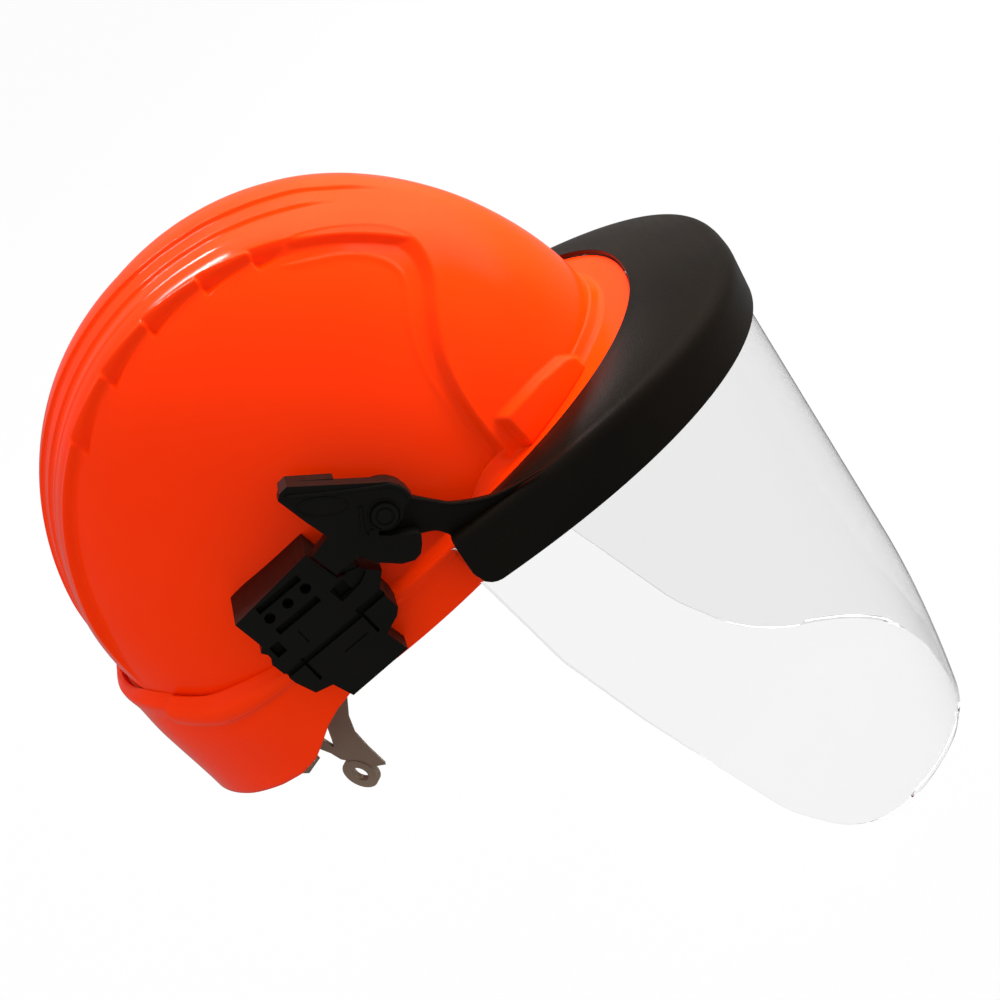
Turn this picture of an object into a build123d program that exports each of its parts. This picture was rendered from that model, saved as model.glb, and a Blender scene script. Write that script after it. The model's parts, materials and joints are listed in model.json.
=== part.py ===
from build123d import *
import math
import os

# Hard hat with a brow guard and face shield that swing up together.
# Millimetres. X is the wearer's left, -Y the front and Z up. The origin is the middle of
# the dome's base plane, where the head sits.

# Shell
DOME_WIDTH = 103.0
DOME_LENGTH = 128.35
DOME_HEIGHT = 139.3
DOME_Y = -1.35
PLAN_POWER = 2.05
RISE_POWER = 2.16
SHELL_WALL = 2.6
BASE_RADIUS = 100.0
LEDGE_RADIUS = 106.2
SKIRT_RADIUS = 107.0
SKIRT_BOTTOM_RADIUS = 104.5
SIDE_RIM_Z = -23.0
NAPE_RIM_Z = -57.0
PEAK_TOP_Z = 0.6
PEAK_THICKNESS = 2.6
PEAK_LIP = 6.0
PEAK_GAP = 1.2
PEAK_REAR_Y = -40.0
BAND_HALF_WIDTH = 44.0
BAND_RISE = 3.2
BAND_FRONT_Y = -48.0
BAND_REAR_END_Y = 62.0
RIB_HALF_WIDTH = 10.0
RIB_RISE = 1.6
RIB_FRONT_Y = -95.0
RIB_REAR_Y = 66.0

# Pivot and visor
PIVOT_Y = -22.3
PIVOT_Z = 31.2
PIN_RADIUS = 3.0
PIN_HEAD_RADIUS = 5.2
BRACKET_OUTER_X = 124.0
BRACKET_INNER_X = 117.6
ARM_OUTER_X = 117.2
ARM_INNER_X = 112.6
EYE_RADIUS = 12.4
RUNNING_GAP = 0.08
GUARD_WIDTH = 126.4
GUARD_LENGTH = 190.4
GUARD_POWER = 2.48
GUARD_PITCH = 7.8
GUARD_CREASE_Z = 10.5
GUARD_SKIRT = 23.0
GUARD_WALL = 2.4
GUARD_END_Y = -34.5
GUARD_EDGE_WIDTH = 110.5
GUARD_EDGE_LENGTH = 148.7
GUARD_EDGE_POWER = 2.23
GUARD_EDGE_Z = 2.6
SHIELD_WIDTH = 121.0
SHIELD_LENGTH = 184.0
SHIELD_POWER = 2.5
SHIELD_PITCH = 8.0
SHIELD_ORIGIN_Z = 9.0
SHIELD_TOP = 4.0
SHIELD_THICKNESS = 1.5
SHIELD_CURL_START = 150.0
SHIELD_CURL = 0.0014

# Harness
BAND_CENTRE_Y = 22.0
NAPE_RADIUS = 76.0
FRONT_REACH = 118.0
BAND_THICKNESS = 1.8
BAND_TOP_Z = 10.0
BAND_BOTTOM_Z = -22.0
STRAP_WIDTH = 20.0
STRAP_THICKNESS = 1.2
STRAP_TOP_Z = 98.0
STRAP_STEP = 1.3
NAPE_Z = -52.0
TAIL_HEIGHT = 16.0
TAIL_THICKNESS = 1.5
LEFT_TAIL_RADIUS = 79.0
RIGHT_TAIL_RADIUS = 80.9
CHANNEL_INNER = 78.6
CHANNEL_OUTER = 82.8
CASE_INNER = 76.0
CASE_SPLIT = 80.7
CASE_OUTER = 85.4
CASE_HEIGHT = 28.0
CASE_HALF_ANGLE = 27.0
YOKE_INNER = 76.05
YOKE_OUTER = 78.55
GUIDE_ANGLE = 54.0
RING_Y = 70.9
RING_Z = -74.0
RING_RADIUS = 8.1
RING_HOLE = 3.8
SHAFT_RADIUS = 2.5
SCREW_RADIUS = 1.3
TOOTH_ROOT = 1.0
TOOTH_TIP = 0.6
TOOTH_HALF = 0.4
TAIL_START = 41.0
TAIL_END = 97.5
SLOT_START = 76.4
SLOT_END = 94.6
PINION_Y0 = 100.7
PINION_Y1 = 104.7
KNOB_Y0 = 108.0
KNOB_Y1 = 119.0
KNOB_CUP_Y = 111.5
KNOB_CUP_RADIUS = 13.0
KNOB_LOBES = 14
DETENT_TEETH = 24
RIVET_RADIUS = 1.6
RIVET_YS = (34.0, 48.0)
RIVET_Z = -11.0
BAND_REAR_Y = 54.0
LUG_Z = 6.2
LUG_HEIGHT = 4.6
SWEATBAND_THICKNESS = 3.8
SWEATBAND_REAR_Y = -14.0
STRAP_FLAT = 28.0
STRAP_BEND_Z = 28.0
STRAP_FOOT_Z = 9.0
ADAPTOR_OUTER_X = 122.0
STUD_RADIUS = 2.0
STUD_HEAD_RADIUS = 4.5
TOOTH_MODULE = 0.8
PINION_TEETH = 10
PINION_RADIUS = TOOTH_MODULE * PINION_TEETH / 2
KNOB_RADIUS = 17.0
FAR = 400.0


def superellipse(width, length, power, count=13):
    """Points of the front half of a superellipse, from the left side round to the right."""
    points = []
    for i in range(count):
        angle = math.pi * i / (count - 1)
        c = math.cos(angle)
        s = math.sin(angle)
        x = math.copysign(width * abs(c) ** (2 / power), c)
        points.append((x, -length * s ** (2 / power)))
    return points


def front_section(width, length, power, back=20.0):
    """A face bounded by the front half of a superellipse and carried straight back."""
    points = superellipse(width, length, power)
    with BuildSketch() as sketch:
        with BuildLine():
            curve = Spline(*points, tangents=[(0, -1), (0, 1)])
            Polyline(curve @ 1, (-width, back), (width, back), curve @ 0)
        make_face()
    return sketch.sketch


def pitched(shape, pitch, z, drop=0.0):
    """Tips a flat section front down about X and moves it down along its own normal."""
    return Pos(0, 0, z) * Rot(pitch, 0, 0) * Pos(0, 0, -drop) * shape


def side_outline(points, x0, x1):
    """Extrudes an outline given as (y, z) along X, from x0 to x1."""
    plane = Plane(origin=(x0, 0, 0), x_dir=(0, 1, 0), z_dir=(1, 0, 0))
    face = plane * make_face(Polyline(*points, close=True))
    return extrude(face, amount=x1 - x0, dir=(1, 0, 0))


def side_box(y0, y1, z0, z1, x0, x1):
    return Pos((x0 + x1) / 2, (y0 + y1) / 2, (z0 + z1) / 2) * Box(x1 - x0, y1 - y0, z1 - z0)


def side_rod(y, z, radius, x0, x1):
    return Pos((x0 + x1) / 2, y, z) * Rot(0, 90, 0) * Cylinder(radius, x1 - x0)


def one(shape):
    """The biggest solid of a shape, so that a part never carries loose crumbs."""
    return max(shape.solids(), key=lambda solid: solid.volume)


def dome_profile(offset, floor):
    """Half section of the dome and its skirt, in the round frame, moved in by an offset."""
    base = BASE_RADIUS - offset
    height = DOME_HEIGHT - offset
    rise = []
    for i in range(13):
        angle = math.pi / 2 * i / 12
        out = base * math.sin(angle) ** (2 / PLAN_POWER)
        up = height * math.cos(angle) ** (2 / RISE_POWER)
        rise.append((out, up))
    with BuildSketch(Plane.XZ) as sketch:
        with BuildLine():
            curve = Spline(*rise, tangents=[(1, 0), (0, -1)])
            Polyline(
                curve @ 1,
                (base, -0.5 * offset),
                (LEDGE_RADIUS - offset, -4.0 - 0.5 * offset),
                (SKIRT_RADIUS - offset, -12.0),
                (SKIRT_RADIUS - offset, SIDE_RIM_Z),
                (SKIRT_BOTTOM_RADIUS - offset, floor),
                (0, floor),
                curve @ 0,
            )
        make_face()
    return sketch.sketch


def to_head(body):
    """Stretches a body from the round frame, where the dome is a revolution, to the head's."""
    body = scale(body, by=(DOME_WIDTH / BASE_RADIUS, DOME_LENGTH / BASE_RADIUS, 1))
    return Pos(0, DOME_Y, 0) * body


def dome(offset, floor=-70.0):
    """The solid inside the dome's surface at an inward offset."""
    return to_head(revolve(dome_profile(offset, floor), Axis.Z))


def raised_strip(rise, half_width, front_y, rear_y):
    """A strip along the crown, raised above the dome, in the round frame."""
    width = 2 * half_width * BASE_RADIUS / DOME_WIDTH
    length = (rear_y - front_y) * BASE_RADIUS / DOME_LENGTH
    middle = (rear_y + front_y) / 2 * BASE_RADIUS / DOME_LENGTH
    strip = Pos(0, middle, DOME_HEIGHT) * Box(width, length, 100.0)
    return revolve(dome_profile(-rise, -70.0), Axis.Z) & strip


def crowned_dome():
    """Outside of the shell with its raised crown band and the rib along its middle."""
    body = revolve(dome_profile(0.0, -70.0), Axis.Z)
    body += raised_strip(BAND_RISE, BAND_HALF_WIDTH, BAND_FRONT_Y, BAND_REAR_END_Y)
    body += raised_strip(BAND_RISE + RIB_RISE, RIB_HALF_WIDTH, RIB_FRONT_Y, RIB_REAR_Y)
    return to_head(body)


def shell_rim_cut():
    """What is below the rim: level at the sides, high under the peak, low at the nape."""
    line = [
        (-FAR, -6.0),
        (-100.0, -6.0),
        (-70.0, -13.0),
        (-34.0, SIDE_RIM_Z),
        (43.0, SIDE_RIM_Z - 1.5),
        (55.0, -31.0),
        (70.0, -43.0),
        (84.0, -49.0),
        (100.0, -51.0),
        (140.0, NAPE_RIM_Z),
        (FAR, NAPE_RIM_Z),
        (FAR, -FAR),
        (-FAR, -FAR),
    ]
    return side_outline(line, -FAR, FAR)


def peak():
    """The brim, a plate with a short lip that stops just inside the guard's inner edge."""
    width = GUARD_EDGE_WIDTH - PEAK_GAP
    length = GUARD_EDGE_LENGTH - PEAK_GAP
    outline = front_section(width, length, GUARD_EDGE_POWER)
    core = front_section(width - PEAK_THICKNESS, length - PEAK_THICKNESS, GUARD_EDGE_POWER)
    body = Pos(0, 0, PEAK_TOP_Z - PEAK_LIP) * extrude(outline, PEAK_LIP)
    body -= Pos(0, 0, PEAK_TOP_Z - PEAK_LIP - PEAK_THICKNESS) * extrude(core, PEAK_LIP)
    return body - Pos(0, PEAK_REAR_Y + FAR / 2, 0) * Box(FAR, FAR, FAR)


def key_places():
    """Azimuth and radius of the six hanger keys inside the rim."""
    places = []
    for azimuth in (0.0, 56.0, 124.0, 180.0, 236.0, 304.0):
        a = math.radians(azimuth)
        places.append((azimuth, key_radius(a)))
    return places


def key_radius(a):
    """How far out a key sits: just inside the dome's inner wall."""
    wide = DOME_WIDTH * (1 - SHELL_WALL / BASE_RADIUS)
    long = DOME_LENGTH * (1 - SHELL_WALL / BASE_RADIUS)
    # Ray from the origin to an ellipse centred at DOME_Y.
    p = (math.cos(a) / wide) ** 2 + (math.sin(a) / long) ** 2
    q = -2 * math.sin(a) * DOME_Y / long**2
    r = (DOME_Y / long) ** 2 - 1
    return (-q + math.sqrt(q * q - 4 * p * r)) / (2 * p) - 8.0


def key_sockets():
    """Pockets moulded on the inner wall that take the hanger keys."""
    sockets = []
    for azimuth, radius in key_places():
        body = Pos(radius + 6.0, 0, -2.0) * Box(14.0, 27.0, 11.0)
        slot = Pos(radius + 1.5, 0, -2.0) * Box(3.4, 22.4, 30.0)
        sockets.append(Rot(0, 0, azimuth) * (body - slot))
    return sockets


def make_shell():
    hollow = dome(SHELL_WALL, floor=-80.0)
    for socket in key_sockets():
        hollow -= socket
    body = crowned_dome() - shell_rim_cut()
    body = body + peak() - hollow
    for x in (-1, 1):
        tongue = adaptor_tongue(0.2)
        body -= tongue if x < 0 else mirror(tongue, Plane.YZ)
    return one(body)


def guard_sections(inset, drop):
    bottom = front_section(GUARD_WIDTH - 1.5 - inset, GUARD_LENGTH - 2.0 - inset, GUARD_POWER)
    crease = front_section(GUARD_WIDTH - inset, GUARD_LENGTH - inset, GUARD_POWER)
    edge = front_section(GUARD_EDGE_WIDTH, GUARD_EDGE_LENGTH, GUARD_EDGE_POWER)
    return [
        pitched(bottom, GUARD_PITCH, GUARD_CREASE_Z, GUARD_SKIRT + drop),
        pitched(crease, GUARD_PITCH, GUARD_CREASE_Z, drop),
        Pos(0, 0, GUARD_EDGE_Z - drop) * edge,
    ]


def guard_arm():
    """Flat arm from the guard's top up to the eye that turns on the pin."""
    outline = [
        (PIVOT_Y - 9.0, PIVOT_Z - 2.0),
        (-39.0, 19.0),
        (-44.0, 13.4),
        (-55.5, 5.9),
        (-64.0, 2.9),
        (-72.0, 0.6),
        (-72.0, -1.6),
        (-36.0, 0.6),
        (-34.2, -1.3),
        (-32.6, 2.1),
        (-29.4, 7.5),
        (-25.4, 11.9),
        (PIVOT_Y + 4.0, PIVOT_Z - 8.0),
    ]
    arm = side_outline(outline, ARM_INNER_X, ARM_OUTER_X)
    eye = side_rod(PIVOT_Y, PIVOT_Z, EYE_RADIUS, ARM_INNER_X, ARM_OUTER_X)
    return arm + eye


def make_brow_guard():
    outer = loft(guard_sections(0.0, 0.0), ruled=True)
    inner = loft(guard_sections(GUARD_WALL, GUARD_WALL), ruled=True)
    edge = front_section(GUARD_EDGE_WIDTH, GUARD_EDGE_LENGTH, GUARD_EDGE_POWER)
    well = Pos(0, 0, -20.0) * extrude(edge, 60.0)
    under = pitched(front_section(FAR, FAR, 2.0, FAR), GUARD_PITCH, GUARD_CREASE_Z, GUARD_SKIRT - 0.5)
    below = extrude(under, amount=-60.0)
    ends = Pos(0, GUARD_END_Y + FAR / 2, 0) * Box(FAR, FAR, FAR)
    corner = side_outline([(-34.0, -15.0), (-38.4, -21.4), (-44.0, -24.5), (-30.0, -30.0)], -FAR, FAR)
    body = outer - inner - well - below - ends - corner
    arm = guard_arm()
    body = body + arm + mirror(arm, Plane.YZ)
    body -= side_rod(PIVOT_Y, PIVOT_Z, PIN_RADIUS + RUNNING_GAP, -FAR, FAR)
    return one(body)


def shield_section(h, inset):
    curl = SHIELD_CURL * max(h - SHIELD_CURL_START, 0.0) ** 2
    face = front_section(SHIELD_WIDTH - inset, SHIELD_LENGTH - curl - inset, SHIELD_POWER)
    return pitched(face, SHIELD_PITCH, SHIELD_ORIGIN_Z, h)


def shield_edge():
    """Side view of the pane: tapered edges, big lower corners and a slightly bowed foot."""
    spots = [
        (-29.6, -8.0),
        (-30.2, -18.1),
        (-32.4, -65.6),
        (-40.8, -107.0),
        (-50.6, -148.7),
        (-60.1, -192.7),
    ]
    corner = [(-66.0, -205.5), (-75.6, -215.0), (-86.0, -221.5), (-96.5, -226.2), (-117.7, -230.0)]
    foot = [(-135.0, -233.0), (-150.0, -240.0), (-FAR, -244.0)]
    return spots + corner + foot + [(-FAR, FAR), (-31.0, FAR), (-31.0, 3.0)]


def make_shield():
    drops = (-30.0, 60.0, SHIELD_CURL_START, 180.0, 210.0, 260.0)
    outer = loft([shield_section(h, 0.0) for h in drops])
    inner = loft([shield_section(h, SHIELD_THICKNESS) for h in drops])
    top = pitched(front_section(FAR, FAR, 2.0, FAR), SHIELD_PITCH, SHIELD_ORIGIN_Z, SHIELD_TOP)
    above = extrude(top, amount=60.0)
    body = (outer - inner) & side_outline(shield_edge(), -FAR, FAR)
    body = body - above
    for stud in stud_rods(STUD_RADIUS + 0.1):
        body -= stud
    return one(body)


def stud_places():
    """Direction across the shield, seen from above, of each fixing stud."""
    return (-62.0, -34.0, 0.0, 34.0, 62.0)


def stud_rods(radius, reach=FAR):
    rods = []
    for azimuth in stud_places():
        place = Pos(0, 0, SHIELD_ORIGIN_Z) * Rot(SHIELD_PITCH, 0, 0) * Pos(0, 0, -14.0)
        rod = Rot(0, 0, azimuth) * (Pos(0, -reach / 2, 0) * Rot(90, 0, 0) * Cylinder(radius, reach))
        rods.append(place * rod)
    return rods


def make_shield_studs():
    """Short pegs that hold the pane behind the guard, each with a flat head inside."""
    cavity = loft(guard_sections(GUARD_WALL, GUARD_WALL), ruled=True)
    pane_inner = loft([shield_section(h, SHIELD_THICKNESS) for h in (-30.0, 60.0)])
    head_inner = loft([shield_section(h, 2.2 * SHIELD_THICKNESS) for h in (-30.0, 60.0)])
    studs = []
    for peg, head in zip(stud_rods(STUD_RADIUS), stud_rods(STUD_HEAD_RADIUS)):
        shank = (peg & cavity) - head_inner
        flange = (head & pane_inner) - head_inner
        studs.append(one(shank + flange))
    return Compound(children=studs)


def plan(grow):
    """Plan of the head: half an ellipse in front and half a circle behind."""
    with BuildSketch() as sketch:
        with Locations((0, BAND_CENTRE_Y)):
            Ellipse(NAPE_RADIUS + grow, FRONT_REACH + grow)
        with Locations((0, BAND_CENTRE_Y + FAR / 2)):
            Rectangle(FAR, FAR, mode=Mode.SUBTRACT)
        with BuildSketch(mode=Mode.ADD):
            with Locations((0, BAND_CENTRE_Y)):
                Circle(NAPE_RADIUS + grow)
            with Locations((0, BAND_CENTRE_Y - FAR / 2)):
                Rectangle(FAR, FAR, mode=Mode.SUBTRACT)
    return sketch.sketch


def plan_solid(grow, z0, z1):
    return Pos(0, 0, z0) * extrude(plan(grow), z1 - z0)


def make_headband():
    body = plan_solid(0, BAND_BOTTOM_Z, BAND_TOP_Z)
    lugs = []
    for azimuth, radius in key_places():
        lug = Pos(radius / 2, 0, LUG_Z) * Box(radius, 15.0, LUG_HEIGHT)
        lugs.append(Rot(0, 0, azimuth) * lug)
    for lug in lugs:
        body += lug
    body -= plan_solid(-BAND_THICKNESS, BAND_BOTTOM_Z - 1.0, BAND_TOP_Z + 1.0)
    body -= Pos(0, BAND_REAR_Y + FAR / 2, 0) * Box(FAR, FAR, FAR)
    for side in (-1, 1):
        for y in RIVET_YS:
            body -= rivet_rod(side, y, RIVET_RADIUS + 0.05)
    return one(body)


def make_sweatband():
    outer = plan_solid(-BAND_THICKNESS - 0.05, BAND_BOTTOM_Z + 1.0, BAND_TOP_Z - 2.0)
    inner = plan_solid(-BAND_THICKNESS - SWEATBAND_THICKNESS, BAND_BOTTOM_Z - 5.0, BAND_TOP_Z + 5.0)
    rear = Pos(0, SWEATBAND_REAR_Y + FAR / 2, 0) * Box(FAR, FAR, FAR)
    return one(outer - inner - rear)


def strap_path(radius, top):
    """From a key's face straight up, round the head and in to the flat crown."""
    points = []
    for i in range(9):
        t = math.pi / 2 * i / 8
        across = STRAP_FLAT + (radius - STRAP_FLAT) * math.cos(t) ** 0.9
        up = STRAP_BEND_Z + (top - STRAP_BEND_Z) * math.sin(t) ** 0.9
        points.append((across, up))
    return points


def strap_half(radius, top):
    """One side of a strap, as a face in its own upright plane."""
    outside = strap_path(radius, top)
    inside = strap_path(radius - STRAP_THICKNESS, top - STRAP_THICKNESS)
    with BuildSketch(Plane.XZ) as sketch:
        with BuildLine():
            over = Spline(*outside, tangents=[(0, 1), (-1, 0)])
            Polyline(over @ 1, (-1.0, top), (-1.0, top - STRAP_THICKNESS), inside[-1])
            under = Spline(*inside, tangents=[(0, 1), (-1, 0)])
            low = (radius - STRAP_THICKNESS, STRAP_FOOT_Z)
            Polyline(under @ 0, low, (radius, STRAP_FOOT_Z), over @ 0)
        make_face()
    return sketch.sketch


def make_strap(azimuth, top):
    halves = []
    for turn in (azimuth, azimuth + 180.0):
        radius = key_radius(math.radians(turn)) - 0.1
        half = extrude(strap_half(radius, top), STRAP_WIDTH / 2, both=True)
        halves.append(Rot(0, 0, turn) * half)
    return one(halves[0] + halves[1])


def make_hanger_keys():
    keys = []
    for azimuth, radius in key_places():
        key = Pos(radius + 1.5, 0, 7.0) * Box(3.0, 22.0, 38.0)
        key -= Pos(radius + 1.5, 0, 21.0) * Box(8.0, 20.6, 2.4)
        key -= Pos(radius + 1.5, 0, 12.0) * Box(8.0, 20.6, 2.4)
        keys.append(Rot(0, 0, azimuth) * key)
    return Compound(children=keys)


def ring_wall(inner, outer, z0, z1):
    """A round wall about the head band's upright axis."""
    wall = Cylinder(outer, z1 - z0) - Cylinder(inner, z1 - z0 + 2.0)
    return Pos(0, BAND_CENTRE_Y, (z0 + z1) / 2) * wall


def wedge(start, end):
    """Everything between two directions about the head band's axis, degrees from +X."""
    a = math.radians(start)
    b = math.radians(end)
    middle = (a + b) / 2
    points = [
        (0, 0),
        (FAR * math.cos(a), FAR * math.sin(a)),
        (FAR * 1.4 * math.cos(middle), FAR * 1.4 * math.sin(middle)),
        (FAR * math.cos(b), FAR * math.sin(b)),
    ]
    face = make_face(Polyline(*points, close=True))
    return Pos(0, BAND_CENTRE_Y, -FAR / 2) * extrude(face, FAR)


def arc_block(inner, outer, z0, z1, start, end):
    return ring_wall(inner, outer, z0, z1) & wedge(start, end)


def radial_rod(angle, z, radius, start, end):
    """A rod that points away from the head band's axis."""
    rod = Pos((start + end) / 2, 0, z) * Rot(0, 90, 0) * Cylinder(radius, end - start)
    return Pos(0, BAND_CENTRE_Y, 0) * Rot(0, 0, angle) * rod


def ring_angle():
    return math.degrees(math.asin((RING_Y - BAND_CENTRE_Y) / YOKE_OUTER))


def rivet_rod(side, y, radius, start=70.0, end=90.0):
    angle = math.degrees(math.asin((y - BAND_CENTRE_Y) / YOKE_OUTER))
    if side < 0:
        angle = 180.0 - angle
    return radial_rod(angle, RIVET_Z, radius, start, end)


def make_yoke_left():
    """Side piece that hangs from the head band, with the chin strap ring at its foot."""
    front_arm = [(28.0, -3.0), (28.0, -19.0), (40.0, -29.0), (49.0, -38.0), (55.0, -46.5)]
    foot = [(58.4, -55.0), (58.8, -64.0), (58.4, -74.5), (63.5, -73.0), (68.0, -68.0), (73.0, -64.0)]
    rear_arm = [(74.5, -59.5), (80.0, -52.0), (88.0, -47.0), (88.0, -40.0), (79.0, -42.0), (73.5, -48.0)]
    inside = [(71.0, -57.0), (68.8, -52.5), (65.5, -45.0), (60.0, -33.0), (56.0, -3.0)]
    outline = front_arm + foot + rear_arm + inside
    half = NAPE_RADIUS
    plate = ring_wall(YOKE_INNER, YOKE_OUTER, -80.0, 0.0) & side_outline(outline, 0.0, 2 * half)
    ring = radial_rod(ring_angle(), RING_Z, RING_RADIUS, YOKE_INNER - 0.3, YOKE_OUTER + 0.3)
    low = NAPE_Z - TAIL_HEIGHT / 2
    high = NAPE_Z + TAIL_HEIGHT / 2
    guide = arc_block(YOKE_INNER, 84.6, low - 3.0, high + 3.0, GUIDE_ANGLE - 2.0, GUIDE_ANGLE + 2.0)
    guide -= ring_wall(CHANNEL_INNER, CHANNEL_OUTER, low - 0.4, high + 0.4)
    body = plate + ring + guide
    body -= radial_rod(ring_angle(), RING_Z, RING_HOLE, 60.0, 100.0)
    for y in RIVET_YS:
        body -= rivet_rod(1, y, RIVET_RADIUS + 0.05)
    return one(body)


def make_yoke_rivets():
    rivets = []
    for side in (-1, 1):
        for y in RIVET_YS:
            shank = rivet_rod(side, y, RIVET_RADIUS, NAPE_RADIUS - 1.8, YOKE_OUTER + 0.4)
            head = rivet_rod(side, y, 2 * RIVET_RADIUS, YOKE_OUTER + 0.05, YOKE_OUTER + 1.2)
            rivets.append(one(shank + head))
    return Compound(children=rivets)


def make_tail(radius, side, rack_up):
    """Nape strap: a curved strip with a slot whose one edge is a rack."""
    outer = radius + TAIL_THICKNESS
    low = NAPE_Z - TAIL_HEIGHT / 2
    high = NAPE_Z + TAIL_HEIGHT / 2
    strip = arc_block(radius, outer, low, high, TAIL_START, TAIL_END)
    near = PINION_RADIUS + TOOTH_ROOT
    away = PINION_RADIUS + TOOTH_TIP + 0.6
    if rack_up:
        slot_low, slot_high = NAPE_Z - away, NAPE_Z + near
    else:
        slot_low, slot_high = NAPE_Z - near, NAPE_Z + away
    strip -= arc_block(radius - 1.0, outer + 1.0, slot_low, slot_high, SLOT_START, SLOT_END)
    pitch = math.degrees(math.pi * TOOTH_MODULE / (radius + TAIL_THICKNESS / 2))
    first = math.ceil((SLOT_START - 90.0) / pitch)
    last = math.floor((SLOT_END - 90.0) / pitch)
    for i in range(first, last):
        strip += rack_tooth(90.0 + (i + 0.5) * pitch, radius, rack_up)
    tip = [(60.0, -49.0), (74.0, -49.0), (88.0, -61.0), (88.0, -90.0), (60.0, -90.0)]
    strip -= side_outline(tip, 0.0, 2 * outer)
    if side < 0:
        strip = mirror(strip, Plane.YZ)
    return one(strip)


def rack_tooth(angle, radius, rack_up):
    """One trapezoid tooth that points at the pinion."""
    slope = math.tan(math.radians(20.0))
    root = TOOTH_ROOT + 0.5
    wide = TOOTH_HALF + root * slope
    thin = TOOTH_HALF - TOOTH_TIP * slope
    points = [
        (-wide, PINION_RADIUS + root),
        (wide, PINION_RADIUS + root),
        (thin, PINION_RADIUS - TOOTH_TIP),
        (-thin, PINION_RADIUS - TOOTH_TIP),
    ]
    sign = 1 if rack_up else -1
    flat = [(x, sign * z) for x, z in points]
    tooth = extrude(Plane.XZ * make_face(Polyline(*flat, close=True)), amount=-TAIL_THICKNESS)
    tooth = Pos(0, radius, NAPE_Z) * tooth
    return Pos(0, BAND_CENTRE_Y, 0) * Rot(0, 0, angle - 90.0) * tooth


def pinion_outline():
    """Involute teeth, thinned a little so they run freely."""
    base = PINION_RADIUS * math.cos(math.radians(20.0))
    at_pitch = math.tan(math.radians(20.0)) - math.radians(20.0)
    flank = [(PINION_RADIUS - TOOTH_ROOT, 0.14)]
    for radius in (base, 4.0, 4.3, PINION_RADIUS + TOOTH_TIP):
        phi = math.acos(min(base / radius, 1.0))
        flank.append((radius, TOOTH_HALF / PINION_RADIUS + at_pitch - math.tan(phi) + phi))
    points = []
    for tooth in range(PINION_TEETH):
        middle = math.pi / 2 + 2 * math.pi * tooth / PINION_TEETH
        for radius, half in flank:
            points.append((radius * math.cos(middle - half), radius * math.sin(middle - half)))
        for radius, half in reversed(flank):
            points.append((radius * math.cos(middle + half), radius * math.sin(middle + half)))
    return points


def along_y(face, y0, y1):
    """Extrudes a face drawn in XZ about the ratchet's axis from y0 to y1."""
    return Pos(0, y0, NAPE_Z) * extrude(Plane.XZ * face, amount=y0 - y1)


def disc(radius, y0, y1):
    return Pos(0, (y0 + y1) / 2, NAPE_Z) * Rot(90, 0, 0) * Cylinder(radius, y1 - y0)


def make_ratchet_pinion():
    face = make_face(Polyline(*pinion_outline(), close=True))
    gear = along_y(face, PINION_Y0, PINION_Y1)
    return one(gear + disc(SHAFT_RADIUS, PINION_Y0 - 1.6, KNOB_Y1 - 3.0))


def case_screw_rods(radius, start, end):
    rods = []
    for angle in (68.0, 112.0):
        for rise in (-11.3, 11.3):
            rods.append(radial_rod(angle, NAPE_Z + rise, radius, start, end))
    return rods


def case_half(inner, outer):
    low = NAPE_Z - CASE_HEIGHT / 2
    high = NAPE_Z + CASE_HEIGHT / 2
    body = arc_block(inner, outer, low, high, 90 - CASE_HALF_ANGLE, 90 + CASE_HALF_ANGLE)
    channel_low = NAPE_Z - TAIL_HEIGHT / 2 - 0.4
    channel_high = NAPE_Z + TAIL_HEIGHT / 2 + 0.4
    body -= ring_wall(CHANNEL_INNER, CHANNEL_OUTER, channel_low, channel_high)
    body -= disc(SHAFT_RADIUS + RUNNING_GAP, 99.0, 120.0)
    for rod in case_screw_rods(SCREW_RADIUS + 0.05, 70.0, 84.0):
        body -= rod
    return one(body)


def make_ratchet_screws():
    shanks = case_screw_rods(SCREW_RADIUS, CASE_INNER - 1.0, 83.9)
    heads = case_screw_rods(2 * SCREW_RADIUS, CASE_INNER - 1.3, CASE_INNER - 0.1)
    screws = []
    for shank, head in zip(shanks, heads):
        screws.append(one(shank + head))
    return Compound(children=screws)


def make_ratchet_knob():
    """Cupped knob with finger lobes outside and detent teeth inside."""
    body = disc(KNOB_RADIUS, KNOB_Y0, KNOB_Y1)
    for i in range(KNOB_LOBES):
        a = 2 * math.pi * i / KNOB_LOBES
        reach = KNOB_RADIUS + 1.6
        dip = disc(2.6, KNOB_Y0 - 1.0, KNOB_Y1 + 1.0)
        body -= Pos(reach * math.cos(a), 0, reach * math.sin(a)) * dip
    body -= disc(KNOB_CUP_RADIUS, KNOB_Y0 - 1.0, KNOB_CUP_Y)
    for i in range(DETENT_TEETH):
        tooth = Pos(KNOB_CUP_RADIUS + 0.4, 0, 0) * Rot(0, 0, 45) * Rectangle(1.7, 1.7)
        a = 360.0 * i / DETENT_TEETH
        body += along_y(Rot(0, 0, a) * tooth, KNOB_Y0 + 0.4, KNOB_CUP_Y + 0.2)
    body -= disc(SHAFT_RADIUS + 0.02, KNOB_Y0 - 1.0, KNOB_Y1 - 3.0)
    return one(body)


def make_detent_spring():
    """Hub with two springy arms whose tips stand just clear of the knob's teeth."""
    face = Circle(5.8) - Circle(SHAFT_RADIUS + 0.5)
    for turn in (0, 180):
        arm = Pos(7.6, 1.6) * Rot(0, 0, 22) * Rectangle(6.4, 1.2)
        tip = Pos(10.4, 2.8) * Circle(0.9)
        face += Rot(0, 0, turn) * (arm + tip)
    spring = along_y(face, 106.6, KNOB_CUP_Y - 0.5)
    return spring - ring_wall(CASE_INNER, CASE_OUTER, -90.0, -20.0)


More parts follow.
